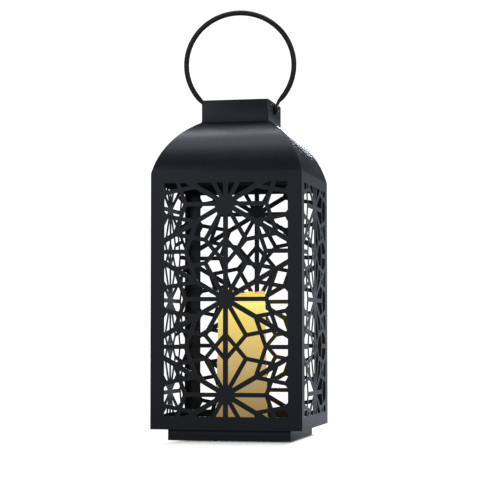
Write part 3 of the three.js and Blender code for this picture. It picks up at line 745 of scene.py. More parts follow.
@dataclass
class LatticeWalls:
    """Four laser-cut walls, modelled once at the front and copied round, with a bead down each corner."""

    finish: Finish
    sheet: float = 0.75 * MM
    cut_edge: float = 0.1 * MM       # rounding of the cut edges
    corner_round: float = 0.14 * MM  # rounding of the lattice's corners
    corner_share: float = 0.42       # most of a hole's side that one corner's rounding takes
    corner_steps: int = 2
    bead: float = 1.2 * MM           # size of the corner bead
    straight: float = 0.02           # radians below which a corner is dropped
    low: Vector = field(init=False)
    high: Vector = field(init=False)

    def __post_init__(self) -> None:
        """Takes the wall's place from the CAD."""
        self.low, self.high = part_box("panel_front")

    def hole_loops(self) -> list[list[Vector]]:
        """Traces the lattice's holes on the outer face of the CAD wall.

        Returns:
            One loop of points in X and Z for each hole, without points on straight runs.
        """
        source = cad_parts["panel_front"]
        copy = copy_of(source, "wall_copy", Matrix.Identity(4))
        with editing(copy):
            bpy.ops.mesh.select_all(action="SELECT")
            bpy.ops.mesh.remove_doubles(threshold=MERGE)
        mesh = bmesh.new()
        mesh.from_mesh(copy.data)
        outside = [face for face in mesh.faces if all(abs(v.co.y - self.low.y) < CLOSE for v in face.verts)]
        flat = set(outside)
        after: dict[int, int] = {}
        places: dict[int, Vector] = {}
        for face in outside:
            for loop in face.loops:
                if not any(other in flat for other in loop.edge.link_faces if other is not face):
                    after[loop.vert.index] = loop.link_loop_next.vert.index
                    places[loop.vert.index] = loop.vert.co.xz
        mesh.free()
        bpy.data.objects.remove(copy)
        loops = []
        while after:
            start = next(iter(after))
            loop = [start]
            step = after.pop(start)
            while step != start:
                loop.append(step)
                step = after.pop(step)
            loops.append([places[index] for index in loop])
        outer = max(loops, key=lambda loop: max(point.x for point in loop) - min(point.x for point in loop))
        loops.remove(outer)
        return [self.corners_only(loop) for loop in loops]

    def corners_only(self, loop: list[Vector]) -> list[Vector]:
        """Drops the points of a loop that lie on straight runs.

        Args:
            loop: the points of a closed loop.

        Returns:
            Its corners.
        """
        kept = []
        for index, point in enumerate(loop):
            before = point - loop[index - 1]
            behind = loop[(index + 1) % len(loop)] - point
            if before.length > MERGE and abs(before.angle(behind, 0)) > self.straight:
                kept.append(point)
        return kept

    def rounded(self, loop: list[Vector]) -> list[Vector]:
        """Rounds the corners of a loop, as far as its sides allow.

        Args:
            loop: the corners of a closed loop.

        Returns:
            The points of the rounded loop.
        """
        points = []
        for index, corner in enumerate(loop):
            before = loop[index - 1] - corner
            behind = loop[(index + 1) % len(loop)] - corner
            reach = self.corner_round / math.tan(before.angle(behind) / 2)
            reach = min(reach, before.length * self.corner_share, behind.length * self.corner_share)
            pulls = [corner + before.normalized() * reach, corner, corner + behind.normalized() * reach]
            points += [on_curve(pulls, step / self.corner_steps) for step in range(self.corner_steps + 1)]
        return points

    def front_wall(self) -> Piece:
        """Cuts the front wall out of sheet, from a filled curve.

        Returns:
            The wall.
        """
        curve = bpy.data.curves.new("wall_cut", "CURVE")
        curve.dimensions = "2D"
        curve.fill_mode = "BOTH"
        curve.extrude = self.sheet / 2 - self.cut_edge
        curve.bevel_depth = self.cut_edge
        curve.bevel_resolution = 1
        curve.offset = -self.cut_edge
        across = -self.low.y - self.bead
        foot, head = self.low.z, self.high.z + self.cut_edge
        corners = ((-across, foot), (across, foot), (across, head), (-across, head))
        outline = [Vector(corner) for corner in corners]
        for loop in [outline, *(self.rounded(hole) for hole in self.hole_loops())]:
            spline = curve.splines.new("POLY")
            spline.points.add(len(loop) - 1)
            spline.use_cyclic_u = True
            for point, place in zip(spline.points, loop):
                point.co = (place.x, place.y, 0, 1)
        only(added("panel_front_sheet", curve))
        bpy.ops.object.convert(target="MESH")
        wall = bpy.context.object
        forward = Matrix.Translation((0, self.low.y + self.sheet / 2, 0))
        wall.data.transform(forward @ Matrix.Rotation(math.pi / 2, 4, "X"))
        tidy_mesh(wall)
        smooth(wall, degrees=50)
        for face in wall.data.polygons:
            if abs(face.normal.y) > FLAT:
                face.use_smooth = False
        return wall

    def corner_bead(self) -> Piece:
        """Rounds a narrow bar into the weld down the front right corner.

        Returns:
            The bead.
        """
        reach = -self.low.y
        low = (reach - self.bead, -reach, self.low.z)
        high = (reach, self.bead - reach, self.high.z)
        bead = box("corner_bead_1", low, high)
        with editing(bead):
            pick_edges(bead, lambda a, b: min(a.x, b.x) > reach - CLOSE and max(a.y, b.y) < CLOSE - reach)
            bpy.ops.mesh.bevel(offset=self.bead / 2, segments=5, affect="EDGES")
        return smooth(bead, degrees=50)

    def build(self) -> None:
        """Makes, dresses and fits the four walls and the four beads."""
        wall = dress(self.front_wall(), self.finish)
        bead = dress(self.corner_bead(), self.finish)
        for side in Side:
            here = wall if side is Side.FRONT else copy_of(wall, f"panel_{side.word}_sheet", side.turn)
            fit(here, Body.HOUSING, [f"panel_{side.word}"])
            if side is not Side.FRONT:
                fit(copy_of(bead, f"corner_bead_{side.value + 1}", side.turn), Body.HOUSING)
        fit(bead, Body.HOUSING)


@dataclass
class Roof:
    """The curved roof, drawn up from the shoulder as one shell with rounded hips."""

    finish: Finish
    sheet: float = 1.2 * MM
    bulge: float = 7.25 * MM         # how far the arc stands out from its chord
    steps: int = 28
    hip_round: float = 1.3 * MM
    edge_round: float = 0.35 * MM
    gap: float = 0.15 * MM           # between the roof's top edge and the neck
    foot: Vector = field(init=False)
    top: Vector = field(init=False)

    def __post_init__(self) -> None:
        """Takes the foot and the top of the curve from the CAD, as distance from the middle and height."""
        low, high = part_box("panel_front")
        self.foot = Vector((-low.y, high.z))
        self.top = Vector((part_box("cap_sleeve")[1].x + self.gap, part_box("roof_right")[1].z))

    def curve(self) -> list[Vector]:
        """Draws the roof's arc.

        Returns:
            Its points, from foot to top.
        """
        chord = self.top - self.foot
        half = chord.length / 2
        radius = (half * half + self.bulge * self.bulge) / (2 * self.bulge)
        out = Vector((chord.y, -chord.x)).normalized()
        centre = (self.foot + self.top) / 2 + out * (self.bulge - radius)
        middle = math.atan2(out.y, out.x)
        spread = math.asin(half / radius)
        points = []
        for step in range(self.steps + 1):
            angle = middle + spread * (2 * step / self.steps - 1)
            points.append(centre + radius * Vector((math.cos(angle), math.sin(angle))))
        return points

    def build(self) -> None:
        """Draws the shell up step by step, rounds its hips and gives it its thickness."""
        arc = self.curve()
        bpy.ops.object.select_all(action="DESELECT")
        bpy.ops.mesh.primitive_plane_add(size=2 * arc[0].x, location=(0, 0, arc[0].y))
        roof = named("roof_shell")
        with editing(roof):
            bpy.ops.mesh.select_all(action="SELECT")
            for before, here in zip(arc, arc[1:]):
                rise = (0, 0, here.y - before.y)
                bpy.ops.mesh.extrude_region_move(TRANSFORM_OT_translate={"value": rise})
                share = here.x / before.x
                bpy.ops.transform.resize(value=(share, share, 1), center_override=(0, 0, here.y))
            pick_faces(roof, lambda middle, normal: abs(normal.z) > FLAT)
            bpy.ops.mesh.delete(type="ONLY_FACE")
            pick_edges(roof, lambda a, b: abs(abs(a.x) - abs(a.y)) < CLOSE
                       and abs(abs(b.x) - abs(b.y)) < CLOSE and abs(a.z - b.z) > CLOSE)
            bpy.ops.mesh.bevel(offset=self.hip_round, segments=4, affect="EDGES")
            bpy.ops.mesh.select_all(action="SELECT")
            bpy.ops.mesh.normals_make_consistent(inside=False)
        thicken(roof, self.sheet)
        with editing(roof):
            rim = self.top.y - 2 * self.sheet
            pick_edges(roof, lambda a, b: min(a.z, b.z) > rim and abs(a.z - b.z) < CLOSE)
            bpy.ops.mesh.bevel(offset=self.edge_round, segments=2, affect="EDGES")
        dress(smooth(roof, degrees=40), self.finish)
        fit(roof, Body.HOUSING, [f"roof_{side.word}" for side in Side])


@dataclass
class Neck:
    """The square neck: a folded sleeve, a bead at its foot, its lid and the two rivets."""

    finish: Finish
    sheet: float = 1.2 * MM
    fold: float = 1.9 * MM
    rim_round: float = 0.3 * MM
    bead: float = 0.55 * MM
    lid_round: float = 0.35 * MM
    rivet_head: float = 1.2 * MM
    rivet_tail: float = 0.8 * MM
    rivet_chamfer: float = 0.3 * MM
    rivet_rim: float = 0.2 * MM
    # shares of the rivet head's radius: the tail's end, the tail, the shank and the head's edge
    rivet_shares: tuple[float, ...] = (0.55, 0.75, 0.5, 0.96)
    dome_steps: int = 8

    def sleeve(self) -> Piece:
        """Folds the sleeve out of a box without top and bottom.

        Returns:
            The sleeve.
        """
        low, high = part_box("cap_sleeve")
        sleeve = box("neck_sleeve", low, high)
        with editing(sleeve):
            pick_faces(sleeve, lambda middle, normal: abs(normal.z) > FLAT)
            bpy.ops.mesh.delete(type="ONLY_FACE")
            pick_edges(sleeve, lambda a, b: abs(a.z - b.z) > self.fold)
            bpy.ops.mesh.bevel(offset=self.fold, segments=7, affect="EDGES")
        thicken(sleeve, self.sheet)
        soften(sleeve, self.rim_round, steps=2, degrees=60)
        return smooth(sleeve, degrees=40)

    def foot_bead(self) -> Piece:
        """Runs a thin bead round the sleeve where it stands on the roof.

        Returns:
            The bead.
        """
        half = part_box("cap_sleeve")[1].x
        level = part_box("roof_right")[1].z + self.bead / 2
        inner, outer = half - self.bead, half + self.bead
        bead = box("neck_bead", (-outer, -outer, level - self.bead), (outer, outer, level + self.bead))
        with editing(bead):
            pick_edges(bead, lambda a, b: abs(a.z - b.z) > self.bead)
            bpy.ops.mesh.bevel(offset=self.fold + self.bead, segments=7, affect="EDGES")
            pick_faces(bead, lambda middle, normal: abs(normal.z) > FLAT)
            bpy.ops.mesh.inset(thickness=outer - inner)
            bpy.ops.mesh.delete(type="FACE")
        with editing(bead):
            bpy.ops.mesh.select_mode(type="EDGE")
            bpy.ops.mesh.select_non_manifold()
            bpy.ops.mesh.bridge_edge_loops()
        tidy_mesh(bead)
        soften(bead, self.bead * 0.8, steps=3, degrees=50)
        return smooth(bead, degrees=60)

    def lid(self) -> Piece:
        """Presses a shallow tray into the lid plate.

        Returns:
            The lid.
        """
        low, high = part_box("cap_lid")
        lid = box("neck_lid", low, high)
        with editing(lid):
            pick_faces(lid, lambda middle, normal: normal.z > FLAT)
            bpy.ops.mesh.inset(thickness=3 * self.sheet)
            bpy.ops.mesh.inset(thickness=self.sheet / 2)
            bpy.ops.transform.translate(value=(0, 0, -self.sheet / 4))
        soften(lid, self.lid_round / 2, steps=2, degrees=20)
        return smooth(lid, degrees=40)

    def rivet(self) -> Piece:
        """Turns a rivet with a domed head, a shank and a flattened tail, at the right of the neck.

        Returns:
            The rivet.
        """
        low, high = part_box("rivet_right")
        centre = (low + high) / 2
        radius = (high.z - low.z) / 2
        head, tail = high.x - self.rivet_head, low.x + self.rivet_tail
        rim = head + self.rivet_rim
        end, flared, shank, edge = (radius * share for share in self.rivet_shares)
        profile = [
            (0, low.x), (end, low.x), (flared, low.x + self.rivet_chamfer), (flared, tail),
            (shank, tail), (shank, head), (edge, head), (radius, rim),
        ]
        for step in range(1, self.dome_steps):
            angle = step / self.dome_steps * math.pi / 2
            profile.append((radius * math.cos(angle), rim + (high.x - rim) * math.sin(angle)))
        profile.append((0, high.x))
        rivet = spun("rivet_right_head", profile, steps=32)
        lay = Matrix.Translation((0, centre.y, centre.z)) @ Matrix.Rotation(math.pi / 2, 4, "Y")
        rivet.data.transform(lay)
        return smooth(rivet, degrees=40)

    def build(self) -> None:
        """Makes, dresses and fits the neck."""
        for piece, nodes in (
            (self.sleeve(), ["cap_sleeve"]), (self.foot_bead(), []), (self.lid(), ["cap_lid"]),
        ):
            fit(dress(piece, self.finish), Body.HOUSING, nodes)
        rivet = dress(self.rivet(), self.finish)
        twin = copy_of(rivet, "rivet_left_head", Side.BACK.turn)
        fit(rivet, Body.HOUSING, ["rivet_right"])
        fit(twin, Body.HOUSING, ["rivet_left"])


@dataclass
class RingHandle:
    """The ring: a round rod bent to an oval, its ends beaten flat and rounded about the rivets."""

    finish: Finish
    rod: float = 5.3 * MM
    half_width: float = 56.4 * MM
    half_height: float = 53.3 * MM
    dip: float = 6.2 * MM            # how far the full oval would reach below the rivets
    lean: float = 8.0                # degrees to the front
    shift: float = 0.7 * MM          # of the oval to the left
    tab_thickness: float = 2 * MM
    tab_width: float = 9.4 * MM
    tab_rise: float = 3.6 * MM       # from the rivet to where the bend starts
    tab_gap: float = 0.3 * MM        # between the flat end and the neck
    join: float = 10.4 * MM          # height above the rivets where the bend meets the oval
    bend: float = 45.0               # degrees from upright at which the rod leaves its flat end
    flatten: float = 14 * MM         # length over which the rod grows thin
    waist: float = 5.6 * MM          # length over which it grows wide
    blunt: float = 0.3               # squareness of the flat end's section, where 1 is round
    tip: float = 0.002               # least squared share of the width that is left at the very end
    sides: int = 20
    oval_steps: int = 130
    bend_steps: int = 14
    tab_steps: int = 16

    @property
    def pivot(self) -> Vector:
        """Where the rivets' axis crosses the middle of the neck."""
        low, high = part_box("rivet_right")
        return Vector((0, 0, (low.z + high.z) / 2))

    @property
    def tab_middle(self) -> float:
        """Distance of the flat ends from the middle of the lantern."""
        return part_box("cap_sleeve")[1].x + self.tab_gap + self.tab_thickness / 2

    @property
    def lift(self) -> float:
        """Height of the oval's middle above the rivets."""
        return self.half_height - self.dip

    def half_path(self, side: int) -> list[Vector]:
        """Draws the middle line of one half, from the flat end's foot to the top of the ring.

        Args:
            side: 1 for the right half and -1 for the left.

        Returns:
            Points in X and Z, about the rivets' axis.
        """
        start_angle = -math.asin((self.lift - self.join) / self.half_height)
        shift = -self.shift * side
        start = Vector((self.tab_middle, self.tab_rise))
        end = Vector((self.half_width * math.cos(start_angle) + shift, self.join))
        along = Vector((-self.half_width * math.sin(start_angle), self.half_height * math.cos(start_angle)))
        reach = (end - start).length / 2
        leaving = Vector((math.sin(math.radians(self.bend)), math.cos(math.radians(self.bend)))) * reach
        pulls = [start, start + leaving, end - along.normalized() * reach, end]
        points = []
        for step in range(self.tab_steps):
            angle = step / self.tab_steps * math.pi / 2
            points.append(Vector((self.tab_middle, -math.cos(angle) * self.tab_width / 2)))
        points.append(Vector((self.tab_middle, 0)))
        points.append(Vector((self.tab_middle, self.tab_rise / 2)))
        points += [on_curve(pulls, step / self.bend_steps) for step in range(self.bend_steps)]
        half_steps = self.oval_steps // 2
        for step in range(half_steps + 1):
            angle = start_angle + (math.pi / 2 - start_angle) * step / half_steps
            across = self.half_width * math.cos(angle) + shift
            points.append(Vector((across, self.lift + self.half_height * math.sin(angle))))
        return [Vector((side * point.x, point.y)) for point in points]

    def section(self, here: Vector, heading: Vector, travelled: float) -> list[Vector]:
        """Sets points round the rod at one place, flatter the nearer it is to its end.

        Args:
            here: the place on the middle line, in X and Z.
            heading: the line's direction there.
            travelled: length of rod from the start of its bend.

        Returns:
            The points.
        """
        ease = eased(travelled / self.flatten)
        thin = self.tab_thickness + (self.rod - self.tab_thickness) * ease
        wide = self.tab_width + (self.rod - self.tab_width) * eased(travelled / self.waist)
        if here.y < 0:
            wide *= math.sqrt(max(1 - (2 * here.y / self.tab_width) ** 2, self.tip))
        power = self.blunt + (1 - self.blunt) * ease
        out = Vector((heading.y, -heading.x))
        points = []
        for step in range(self.sides):
            turn = 2 * math.pi * step / self.sides
            across = math.copysign(abs(math.cos(turn)) ** power, math.cos(turn)) * thin / 2
            depth = math.copysign(abs(math.sin(turn)) ** power, math.sin(turn)) * wide / 2
            points.append(Vector((here.x + out.x * across, depth, here.y + out.y * across)))
        return points

    def build(self) -> None:
        """Sweeps the rod along its path, closes its ends and leans it to the front."""
        right, left = self.half_path(1), self.half_path(-1)
        path = right + left[-2::-1]
        half = len(right) - 1
        bend_start = self.tab_steps + 2
        lengths = [0.0]
        for a, b in zip(right[bend_start:], right[bend_start + 1:]):
            lengths.append(lengths[-1] + (b - a).length)
        points = []
        for index, here in enumerate(path):
            place = min(index, 2 * half - index)
            heading, travelled = Vector((0, 1 if index <= half else -1)), 0
            if place >= bend_start:
                heading = (path[index + 1] - path[index - 1]).normalized()
                travelled = lengths[place - bend_start]
            points += self.section(here, heading, travelled)
        faces = [tuple(range(self.sides)), tuple(range(len(points) - self.sides, len(points)))]
        for low in range(0, len(points) - self.sides, self.sides):
            high = low + self.sides
            for step in range(self.sides):
                after = (step + 1) % self.sides
                faces.append((low + step, low + after, high + after, high + step))
        mesh = bpy.data.meshes.new("ring_handle")
        mesh.from_pydata(points, [], faces)
        ring = added("ring_handle", mesh)
        lean = Matrix.Rotation(math.radians(self.lean), 4, "X")
        ring.data.transform(Matrix.Translation(self.pivot) @ lean)
        tidy_mesh(ring)
        dress(smooth(ring, degrees=50), self.finish)
        fit(ring, Body.RING, ["handle_ring"])


@dataclass
class Foot:
    """The plinth and the floor of the lantern."""

    finish: Finish
    sheet: float = 1.2 * MM
    lip: float = 8 * MM
    corner: float = 1.7 * MM         # wider than the sheet, so that its inner side stays open
    edge: float = 0.25 * MM

    def plinth(self) -> Piece:
        """Folds the plinth out of a box without top, with a lip turned in at its foot.

        Returns:
            The plinth.
        """
        low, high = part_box("plinth_skirt")
        plinth = box("plinth_box", low, high)
        with editing(plinth):
            pick_faces(plinth, lambda middle, normal: normal.z > FLAT)
            bpy.ops.mesh.delete(type="ONLY_FACE")
            pick_faces(plinth, lambda middle, normal: normal.z < -FLAT)
            bpy.ops.mesh.inset(thickness=self.lip + self.sheet)
            bpy.ops.mesh.delete(type="FACE")
            pick_edges(plinth, lambda a, b: abs(a.z - b.z) > self.lip)
            bpy.ops.mesh.bevel(offset=self.corner, segments=4, affect="EDGES")
            bpy.ops.mesh.select_all(action="SELECT")
            bpy.ops.mesh.normals_make_consistent(inside=False)
        thicken(plinth, self.sheet)
        soften(plinth, self.edge, steps=2, degrees=60)
        return smooth(plinth, degrees=40)

    def build(self) -> None:
        """Makes, dresses and fits the plinth, and dresses the floor pan."""
        fit(dress(self.plinth(), self.finish), Body.HOUSING, ["plinth_skirt"])
        dress(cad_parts["floor_pan"], self.finish)


@dataclass
class Candle:
    """The pillar candle: its wax shell with a wavy melted rim, and the lamp under its pool."""

    wax: Finish
    lens: Finish
    foot_radius: float = 26.4 * MM
    top_radius: float = 23.8 * MM
    height: float = 134.2 * MM
    foot_edge: float = 0.5 * MM
    wall: float = 2.6 * MM
    rings: tuple[float, ...] = (0.2, 0.4, 0.6, 0.8, 0.9)   # shares of the height
    round_steps: int = 8             # steps over the lip and over the lens
    pool_depth: float = 7 * MM
    pool_thickness: float = 2.2 * MM
    pool_edge: Stops = ((0, 3), (0.4, 1.3), (1.4, 0.3), (3, 0))   # mm from the wall and above the pool
    pool_dish: float = 0.5 * MM      # how far the pool has sunk halfway in
    hole: float = 2.9 * MM
    hole_dish: float = 0.8 * MM      # how far it has sunk at the lamp's hole
    melt_start: float = 0.75         # share of the height where the melted waves start
    melt_reach: float = 0.6 * MM     # how far inside the wall they still move the wax
    wave: float = 1.8 * MM
    wave_turn: float = 0.22
    waves: int = 4
    ripple: float = 0.35 * MM
    ripple_turn: float = 0.6
    ripples: int = 3
    slump: float = 0.006             # share of the radius
    slump_turn: float = 1.1
    slumps: int = 5
    steps: int = 120
    lens_radius: float = 2.5 * MM
    flange_height: float = 1 * MM
    flange_round: float = 0.2 * MM

    @property
    def foot(self) -> float:
        """Height of the candle's foot."""
        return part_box("candle_shell")[0].z

    def radius(self, height: float) -> float:
        """The shell's outer radius at a height above its foot."""
        return self.foot_radius + (self.top_radius - self.foot_radius) * height / self.height

    def rim(self, angle: float) -> float:
        """How far the rim stands above its middle height at an angle."""
        wave = self.wave * math.cos(self.waves * (angle + self.wave_turn))
        return wave + self.ripple * math.cos(self.ripples * (angle + self.ripple_turn))

    def profile(self) -> list[tuple[float, float]]:
        """Draws the shell's cut face before the rim is waved.

        Returns:
            Radius and height of each point.
        """
        top = self.height
        pool = top - self.pool_depth
        under = pool - self.pool_thickness
        points = [(self.radius(0) - self.foot_edge, 0), (self.radius(self.foot_edge), self.foot_edge)]
        points += [(self.radius(top * share), top * share) for share in self.rings]
        outer = self.radius(top)
        lip = self.wall / 2
        for step in range(self.round_steps + 1):
            angle = math.pi * step / self.round_steps
            points.append((outer - lip + lip * math.cos(angle), top - lip + lip * math.sin(angle)))
        inner = outer - self.wall
        points += [(inner - back * MM, pool + rise * MM) for back, rise in self.pool_edge]
        points += [(inner / 2, pool - self.pool_dish), (self.hole, pool - self.hole_dish), (self.hole, under)]
        points += [(self.radius(under) - self.wall, under), (self.radius(0) - self.wall, 0)]
        return points

    def shell(self) -> Piece:
        """Turns the shell and melts its rim into soft waves.

        Returns:
            The shell.
        """
        shell = spun("candle_wax", self.profile(), self.steps)
        start = self.melt_start * self.height
        for vertex in shell.data.vertices:
            x, y, z = vertex.co
            if math.hypot(x, y) > self.top_radius - self.wall - self.melt_reach:
                share = held((z - start) / (self.height - start))
                angle = math.atan2(y, x)
                vertex.co.z += share ** 3 * self.rim(angle)
                slump = 1 - self.slump * share * math.sin(self.slumps * angle + self.slump_turn)
                vertex.co.x *= slump
                vertex.co.y *= slump
        shell.data.transform(Matrix.Translation((0, 0, self.foot)))
        return smooth(shell, degrees=50)

    def lamp(self) -> Piece:
        """Turns the lamp with its flange and domed lens.

        Returns:
            The lamp.
        """
        low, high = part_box("led")
        flange = (high.x - low.x) / 2
        ledge = low.z + self.flange_height
        profile = [
            (0, low.z), (flange, low.z), (flange, ledge - self.flange_round),
            (flange - self.flange_round, ledge), (self.lens_radius, ledge),
        ]
        for step in range(self.round_steps):
            angle = step / self.round_steps * math.pi / 2
            rise = self.lens_radius * math.sin(angle)
            profile.append((self.lens_radius * math.cos(angle), high.z - self.lens_radius + rise))
        profile.append((0, high.z))
        return smooth(spun("lamp_bulb", profile, steps=32), degrees=40)

    def build(self) -> None:
        """Makes, dresses and fits the shell and the lamp."""
        fit(dress(self.shell(), self.wax), Body.HOUSING, ["candle_shell"])
        fit(dress(self.lamp(), self.lens), Body.HOUSING, ["led"])


@dataclass
class Works:
    """Everything inside and under the candle that keeps its CAD shape."""

    pale: Finish
    dark: Finish
    contact: Finish
    zinc: Finish
    board: Finish
    leads: dict[str, Finish]

    def build(self) -> None:
        """Dresses the CAD nodes of the battery holder, switch and lamp post."""
        finishes = dict(self.leads)
        for finish, names in (
            (self.pale, ("candle_base", "battery_cover", "led_post")),
            (self.dark, ("switch_body", "switch_slider")),
            (self.contact, ("bridge_contact", "contact_positive", "contact_negative")),
            (self.zinc, ("base_screw_1", "base_screw_2", "base_screw_3")),
            (self.board, ("led_board",)),
        ):
            finishes.update(dict.fromkeys(names, finish))
        for name, plus_up in (("battery_1", True), ("battery_2", False)):
            low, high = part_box(name)
            finishes[name] = BatteryJacket(f"{name}_jacket", low.z, high.z, plus_up).material()
        for name, finish in finishes.items():
            dress(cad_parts[name], finish)
        log.info("works: %d CAD nodes dressed", len(finishes))


@dataclass(frozen=True)
class SoftLight:
    """A rectangular soft light, hung by its bearing and rise seen from the lantern."""

    name: str
    bearing: float                   # degrees to the right of straight behind
    rise: float                      # degrees above the level
    distance: float
    size: tuple[float, float]
    power: float
    aim: Point = (0, 0, 0.22)

    def hang(self, tint: Colour) -> None:
        """Hangs the light, turned to its aim and unseen by the camera.

        Args:
            tint: the light's colour.
        """
        data = bpy.data.lights.new(self.name, "AREA")
        data.shape = "RECTANGLE"
        data.size, data.size_y = self.size
        data.energy = self.power
        data.color = tint
        bearing, rise = math.radians(self.bearing), math.radians(self.rise)
        level = Vector((math.sin(bearing), math.cos(bearing), 0)) * math.cos(rise)
        way = level + Vector((0, 0, math.sin(rise)))
        light = added(self.name, data)
        light.location = Vector(self.aim) + way * self.distance
        light.rotation_euler = (-way).to_track_quat("-Z", "Y").to_euler()
        light.visible_camera = False


@dataclass
class Studio:
    """The camera at the photograph's viewing angle, the pale floor and the soft lights."""

    photo: int = 480                 # pixels along each side of the photograph
    focal: float = 1663.3            # pixels
    sensor: float = 36.0
    stand: Point = (0.36148, -1.664, 0.10659)
    yaw: float = 12.322              # degrees to the right of the front
    pitch: float = 3.179             # degrees up from the level
    view_end: float = 30.0
    floor_size: float = 6.0
    exposure: float = 2.1            # of the floor, as the camera sees it
    white: float = 1.1               # of the background and the far floor, as the camera sees them
    # where the lantern's shade on the floor starts to fade and ends, along each axis; the shade comes from
    # the lights, its fade to white is painted by place
    shade: tuple[tuple[str, float, float], ...] = (
        ("X", -36 * MM, -62 * MM), ("X", 62 * MM, 69 * MM),
        ("Y", -62 * MM, -165 * MM), ("Y", 50 * MM, 64 * MM),
    )
    room_turn: float = 0.5           # part of a level way to the back by which the back room has taken over
    side_dim: float = 0.2            # share of the room's light that is left straight to the sides
    side_span: tuple[float, float] = (0.5, 0.85)   # parts of a way aside where dimming starts and ends
    tint: Colour = (0.93, 1.0, 1.13)
    # brightness of the room by the rise in degrees, in front of the lantern and behind it
    front_room: Stops = (
        (-90, 0.78), (-4, 0.78), (1, 0.38), (8, 0.44), (14, 0.2), (20, 0.22), (32, 0.28), (50, 0.04),
        (90, 0.66),
    )
    back_room: Stops = (
        (-90, 0.4), (-4, 0.4), (1, 0.41), (4, 0.3), (7, 0.02), (10, 0.13), (14, 0.01), (20, 0.35), (32, 0),
    )
    # brightness of the floor's shine by the place along Y
    floor_glow: Stops = (
        (-3, 0.42), (-1.2, 0.12), (-0.5, 0.27), (-0.15, 0.13), (0.15, 0.35), (0.4, 0.53), (0.9, 0.33),
        (3, 0.11),
    )
    lights: tuple[SoftLight, ...] = (
        SoftLight("overhead_back", 0, 90, 1.28, (1.4, 0.2), 4.6, (0, 0.25, 0.22)),
        SoftLight("overhead_front", 0, 90, 1.28, (1.4, 0.4), 1.9, (0, -0.2, 0.22)),
        SoftLight("right_card", 95, 25, 1.6, (0.8, 0.8), 2.8),
        SoftLight("front_left_card", 215, 20, 1.6, (0.8, 0.8), 1.5),
        SoftLight("back_right_card", 40, 12, 2.0, (0.8, 0.4), 0.67),
        SoftLight("back_left_card", -11, 13, 2.2, (0.6, 0.45), 10.0),
    )

    def camera(self) -> None:
        """Places the camera where the photograph was taken from."""
        data = bpy.data.cameras.new("camera")
        data.sensor_width = self.sensor
        data.lens = self.sensor * self.focal / self.photo
        data.clip_end = self.view_end
        camera = added("camera", data)
        camera.location = self.stand
        camera.rotation_euler = (math.pi / 2 + math.radians(self.pitch), 0, math.radians(self.yaw))
        bpy.context.scene.camera = camera

    def graded(self, wiring: Wiring, source: Socket, reach: float, stops: Stops) -> Socket:
        """Adds a tinted brightness that changes with a socket.

        Args:
            wiring: the tree that gets the nodes.
            source: the socket that the brightness follows.
            reach: its highest value, which is also how low it goes below zero.
            stops: the socket's value and the brightness there.

        Returns:
            The tinted brightness.
        """
        share = wiring.spread(source, 0, 1, -reach, reach)
        tinted = [tuple(value * part for part in self.tint) for _, value in stops]
        return wiring.ramp(share, zip([(place + reach) / (2 * reach) for place, _ in stops], tinted))

    def beyond_shade(self, wiring: Wiring, place: bpy.types.Node) -> Socket:
        """Rises smoothly from 0 in the lantern's shade to 1 beyond it, so painting where the shade ends.

        Args:
            wiring: the tree that gets the nodes.
            place: the node that gives the floor's X and Y.

        Returns:
            The share of white.
        """
        first, *others = (
            wiring.spread(place.outputs[axis], 0, 1, inside, outside, soft=True)
            for axis, inside, outside in self.shade
        )
        for other in others:
            first = wiring.math("MAXIMUM", first, other)
        return first

    def show(self, wiring: Wiring, lighting: Socket, seen: Socket, output: str) -> None:
        """Ends a tree with one shader that lights the lantern and one that the camera sees.

        Args:
            wiring: the tree.
            lighting: the shader that lights the lantern and shows in it.
            seen: the shader that the camera sees.
            output: the name of the tree's last node.
        """
        camera_ray = wiring.node("ShaderNodeLightPath").outputs["Is Camera Ray"]
        wiring.feed(wiring.tree.nodes[output].inputs["Surface"], wiring.mixed(camera_ray, lighting, seen))

    def floor(self) -> None:
        """Lays a pale floor, exposed to white for the camera, that shines softly up at the lantern."""
        bpy.ops.object.select_all(action="DESELECT")
        bpy.ops.mesh.primitive_plane_add(size=self.floor_size, location=(0, 0, 0))
        floor = named("floor")
        material = bpy.data.materials.new("floor_card")
        material.use_nodes = True
        wiring = Wiring(material.node_tree)
        wiring.tree.nodes.remove(wiring.tree.nodes["Principled BSDF"])
        place = wiring.split_place("Object")
        shine = self.graded(wiring, place.outputs["Y"], self.floor_size / 2, self.floor_glow)
        glow = wiring.node("ShaderNodeEmission", {"Color": shine})
        paint = (*(self.exposure / part for part in self.tint), 1)
        card = wiring.node("ShaderNodeBsdfDiffuse", {"Color": paint})
        white = wiring.node("ShaderNodeEmission", {"Strength": self.white})
        beyond = self.beyond_shade(wiring, place)
        seen = wiring.mixed(beyond, card.outputs["BSDF"], white.outputs["Emission"])
        self.show(wiring, glow.outputs["Emission"], seen, "Material Output")
        dress(floor, material)

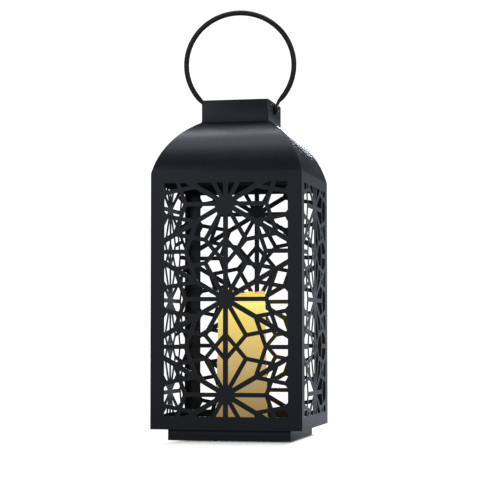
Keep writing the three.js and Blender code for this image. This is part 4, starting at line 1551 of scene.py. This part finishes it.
    def world(self) -> None:
        """Sets a white background behind the lantern and a dim room for its reflections."""
        world = bpy.data.worlds.new("room")
        bpy.context.scene.world = world
        world.use_nodes = True
        wiring = Wiring(world.node_tree)
        way = wiring.split_place("Generated")
        front, back = (
            self.graded(wiring, way.outputs["Z"], 1, [
                (math.sin(math.radians(rise)), brightness) for rise, brightness in stops
            ])
            for stops in (self.front_room, self.back_room)
        )
        behind = wiring.spread(way.outputs["Y"], 0, 1, -self.room_turn, self.room_turn, soft=True)
        inputs = {"Factor": behind, COLOUR_A: front, COLOUR_B: back}
        blend = wiring.node("ShaderNodeMix", inputs, data_type="RGBA")
        aside = wiring.math("ABSOLUTE", way.outputs["X"])
        room = wiring.tree.nodes["Background"]
        wiring.feed(room.inputs["Color"], blend.outputs[COLOUR_RESULT])
        dim = wiring.spread(aside, 1, self.side_dim, *self.side_span, soft=True)
        wiring.feed(room.inputs["Strength"], dim)
        white = wiring.node("ShaderNodeBackground", {"Color": (1, 1, 1, 1), "Strength": self.white})
        self.show(wiring, room.outputs["Background"], white.outputs["Background"], "World Output")

    def build(self) -> None:
        """Sets up the camera, the floor, the background and the lights."""
        bpy.context.scene.view_settings.view_transform = "Standard"
        self.camera()
        self.floor()
        self.world()
        for light in self.lights:
            light.hang(self.tint)
        log.info("studio: camera, floor and %d lights in place", len(self.lights))


def main() -> None:
    """Builds the studio and the lantern, piece by piece."""
    Studio().build()
    steel = PowderCoat().material()
    for part in (LatticeWalls, Roof, Neck, RingHandle, Foot):
        part(steel).build()
    Candle(Wax().material(), LampLens().material()).build()
    Works(
        pale=Moulded("pale_plastic", (0.72, 0.68, 0.58)).material(),
        dark=Moulded("black_plastic", (0.02, 0.02, 0.022), gloss=0.4).material(),
        contact=BareMetal("nickel_plate", (0.62, 0.60, 0.56)).material(),
        zinc=BareMetal("zinc_plate", (0.55, 0.57, 0.60), gloss=0.35, stretch=(1, 1, 1)).material(),
        board=Moulded("green_lacquer", (0.03, 0.12, 0.05), gloss=0.25).material(),
        leads={
            "wire_positive": Moulded("red_insulation", (0.40, 0.02, 0.015)).material(),
            "wire_switched": Moulded("white_insulation", (0.72, 0.72, 0.70)).material(),
            "wire_negative": Moulded("black_insulation", (0.015, 0.015, 0.017)).material(),
        },
    ).build()


if __name__ == "__main__":
    main()
